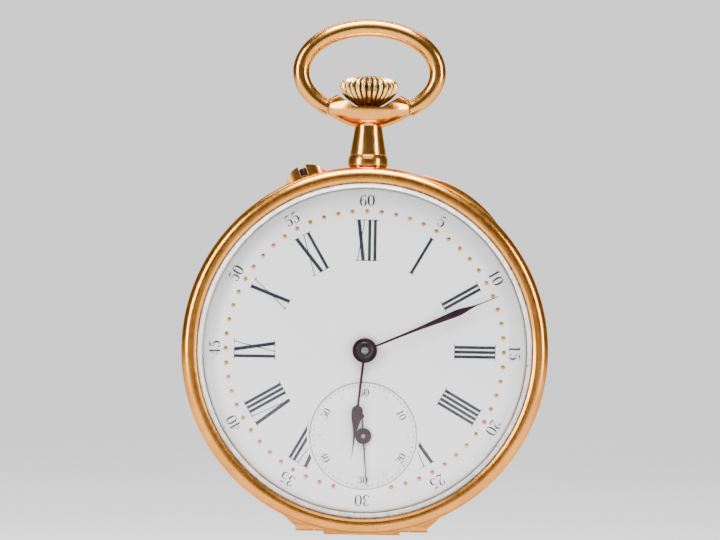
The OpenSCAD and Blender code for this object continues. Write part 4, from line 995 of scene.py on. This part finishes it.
def make_seconds_hand():
    hand = blade("seconds_blade", eased([(-2.7, 0.09), (-1.5, 0.1), (0, 0.12), (3.2, 0.085), (6.5, 0.045)]),
                 9.45, 9.57, 0.03)
    ball = moved(lathe("ball", [(0, 9.45), (0.29, 9.45), (0.31, 9.5), (0.27, 9.56), (0, 9.57)], 32),
                 Matrix.Translation((0, -2.6, 0)))
    hub = lathe("hub", [(0, 9.42), (1.0, 9.42), (1.05, 9.46), (1.05, 9.58), (0.96, 9.66), (0.7, 9.68),
                        (0, 9.68)], ROUND)
    joined(hand, ball, hub)
    cut(hand, lathe("hole", [(0, 9), (0.27, 9), (0.27, 10), (0, 10)], 32))
    place = turn_clock(SECONDS_ANGLE, (0, SECONDS_Y))
    finish_piece(moved(hand, place), "seconds", "blued_steel", "hand", "seconds_hand")


# ------------------------------------------------------------------ CAD nodes that stay
KEPT = {
    "pin": ["back_hinge_pin", "bezel_hinge_pin", "dust_hinge_pin"],
    "copper": ["dial_feet"],
    "gilt": ["main_plate", "barrel_bridge", "train_bridge", "pallet_cock", "balance_cock"],
    "screw": ["bridge_screws", "pallet_screw", "case_screws", "ratchet_screw", "crown_wheel_screw"],
    "ruby": ["jewels", "pallet_stones"],
    "brass": ["mainspring_barrel", "barrel_cover", "center_wheel", "third_wheel", "fourth_wheel",
              "balance_wheel",
              "balance_screws", "hairspring_collet", "minute_wheel", "hour_wheel"],
    "spring": ["mainspring", "click_spring", "hairspring"],
}


def dress_movement():
    """Gives each CAD node that stays its material, and smooth shading but for its edges."""
    slots = {n: material for material, nodes in KEPT.items() for n in nodes}
    for name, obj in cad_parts.items():
        if obj.hide_render:
            continue
        obj.data.materials.clear()
        obj.data.materials.append(MAT[slots.get(name, "steel")])
        obj.data.set_sharp_from_angle(angle=math.radians(30))


# ------------------------------------------------------------------ stage, light and camera
# Metres, in the row frame. The floor lies below the open lids, and the wall stands outside the circle
# on which a camera goes round the watch.
FLOOR_Z = -0.045
WALL_Y, WALL_BEND, WALL_TOP = 2.2, 0.8, 2.5
STAGE_HALF = 3.0
CAMERA_D = 0.50
FIELD_W = 0.0939
SENSOR_W = 36                              # millimetres


def make_stage():
    """A pale floor that curves up into the wall, clear of a camera that circles the watch."""
    rows = [(-STAGE_HALF, FLOOR_Z), (WALL_Y - WALL_BEND, FLOOR_Z)]
    rows += [(WALL_Y - WALL_BEND * (1 - math.sin(a)), FLOOR_Z + WALL_BEND * (1 - math.cos(a)))
             for a in (math.radians(6 * k) for k in range(1, 16))]
    rows.append((WALL_Y, WALL_TOP))
    verts = [(x, y, z) for y, z in rows for x in (-STAGE_HALF, STAGE_HALF)]
    faces = [(2 * i, 2 * i + 1, 2 * i + 3, 2 * i + 2) for i in range(len(rows) - 1)]
    mesh = bpy.data.meshes.new("stage")
    mesh.from_pydata(verts, [], faces)
    mesh.materials.append(soft_stage("stage_paper", (0.56, 0.545, 0.545)))
    mesh.polygons.foreach_set("use_smooth", [True] * len(mesh.polygons))
    obj = bpy.data.objects.new("stage", mesh)
    bpy.context.scene.collection.objects.link(obj)


def area_light(name, place, target, size, power):
    data = bpy.data.lights.new(name, "AREA")
    data.shape, data.size, data.size_y, data.energy = "RECTANGLE", *size, power
    lamp = bpy.data.objects.new(name, data)
    bpy.context.scene.collection.objects.link(lamp)
    lamp.location = place
    lamp.rotation_euler = (Vector(target) - Vector(place)).to_track_quat("-Z", "Y").to_euler()


def make_light():
    world = bpy.data.worlds.new("studio")
    world.use_nodes = True
    world.node_tree.nodes["Background"].inputs["Color"].default_value = (0.80, 0.83, 0.88, 1)
    world.node_tree.nodes["Background"].inputs["Strength"].default_value = 0.20
    bpy.context.scene.world = world
    area_light("top_box", (0.0, -0.12, 0.42), (0, 0, 0), (0.34, 0.22), 9.5)
    area_light("left_box", (-0.42, -0.30, 0.16), (0, 0, 0.005), (0.16, 0.40), 5.0)
    area_light("wall_box", (0.0, 0.90, 1.50), (0, 2.0, 0.0), (2.0, 0.50), 60.0)
    area_light("front_box", (0.0, -0.55, 0.62), (0, 0, 0), (0.60, 0.30), 1.6)
    area_light("right_box", (0.45, -0.26, 0.12), (0, 0, 0.005), (0.12, 0.36), 3.4)


def make_camera():
    data = bpy.data.cameras.new("camera")
    data.sensor_width = SENSOR_W
    data.lens = SENSOR_W * CAMERA_D / FIELD_W
    data.clip_start, data.clip_end = 0.01, 10
    camera = bpy.data.objects.new("camera", data)
    bpy.context.scene.collection.objects.link(camera)
    camera.location = (-0.0008, -0.0107 - CAMERA_D, 0.0105)
    camera.rotation_euler = Matrix.Rotation(math.radians(90), 3, "X").to_euler()
    camera.rotation_euler.rotate_axis("Z", math.radians(1.0))
    bpy.context.scene.camera = camera


make_camera()
make_stage()
make_light()
make_case_middle()
make_bezel()
make_crystal()
make_back_cover()
make_dust_cover()
make_pendant()
make_collar()
make_bow()
make_crown()
make_button_guard()
make_button()
make_dial()
make_hours()
make_minutes()
make_seconds_numerals()
make_dots()
make_minute_hand()
make_hour_hand()
make_seconds_hand()
dress_movement()
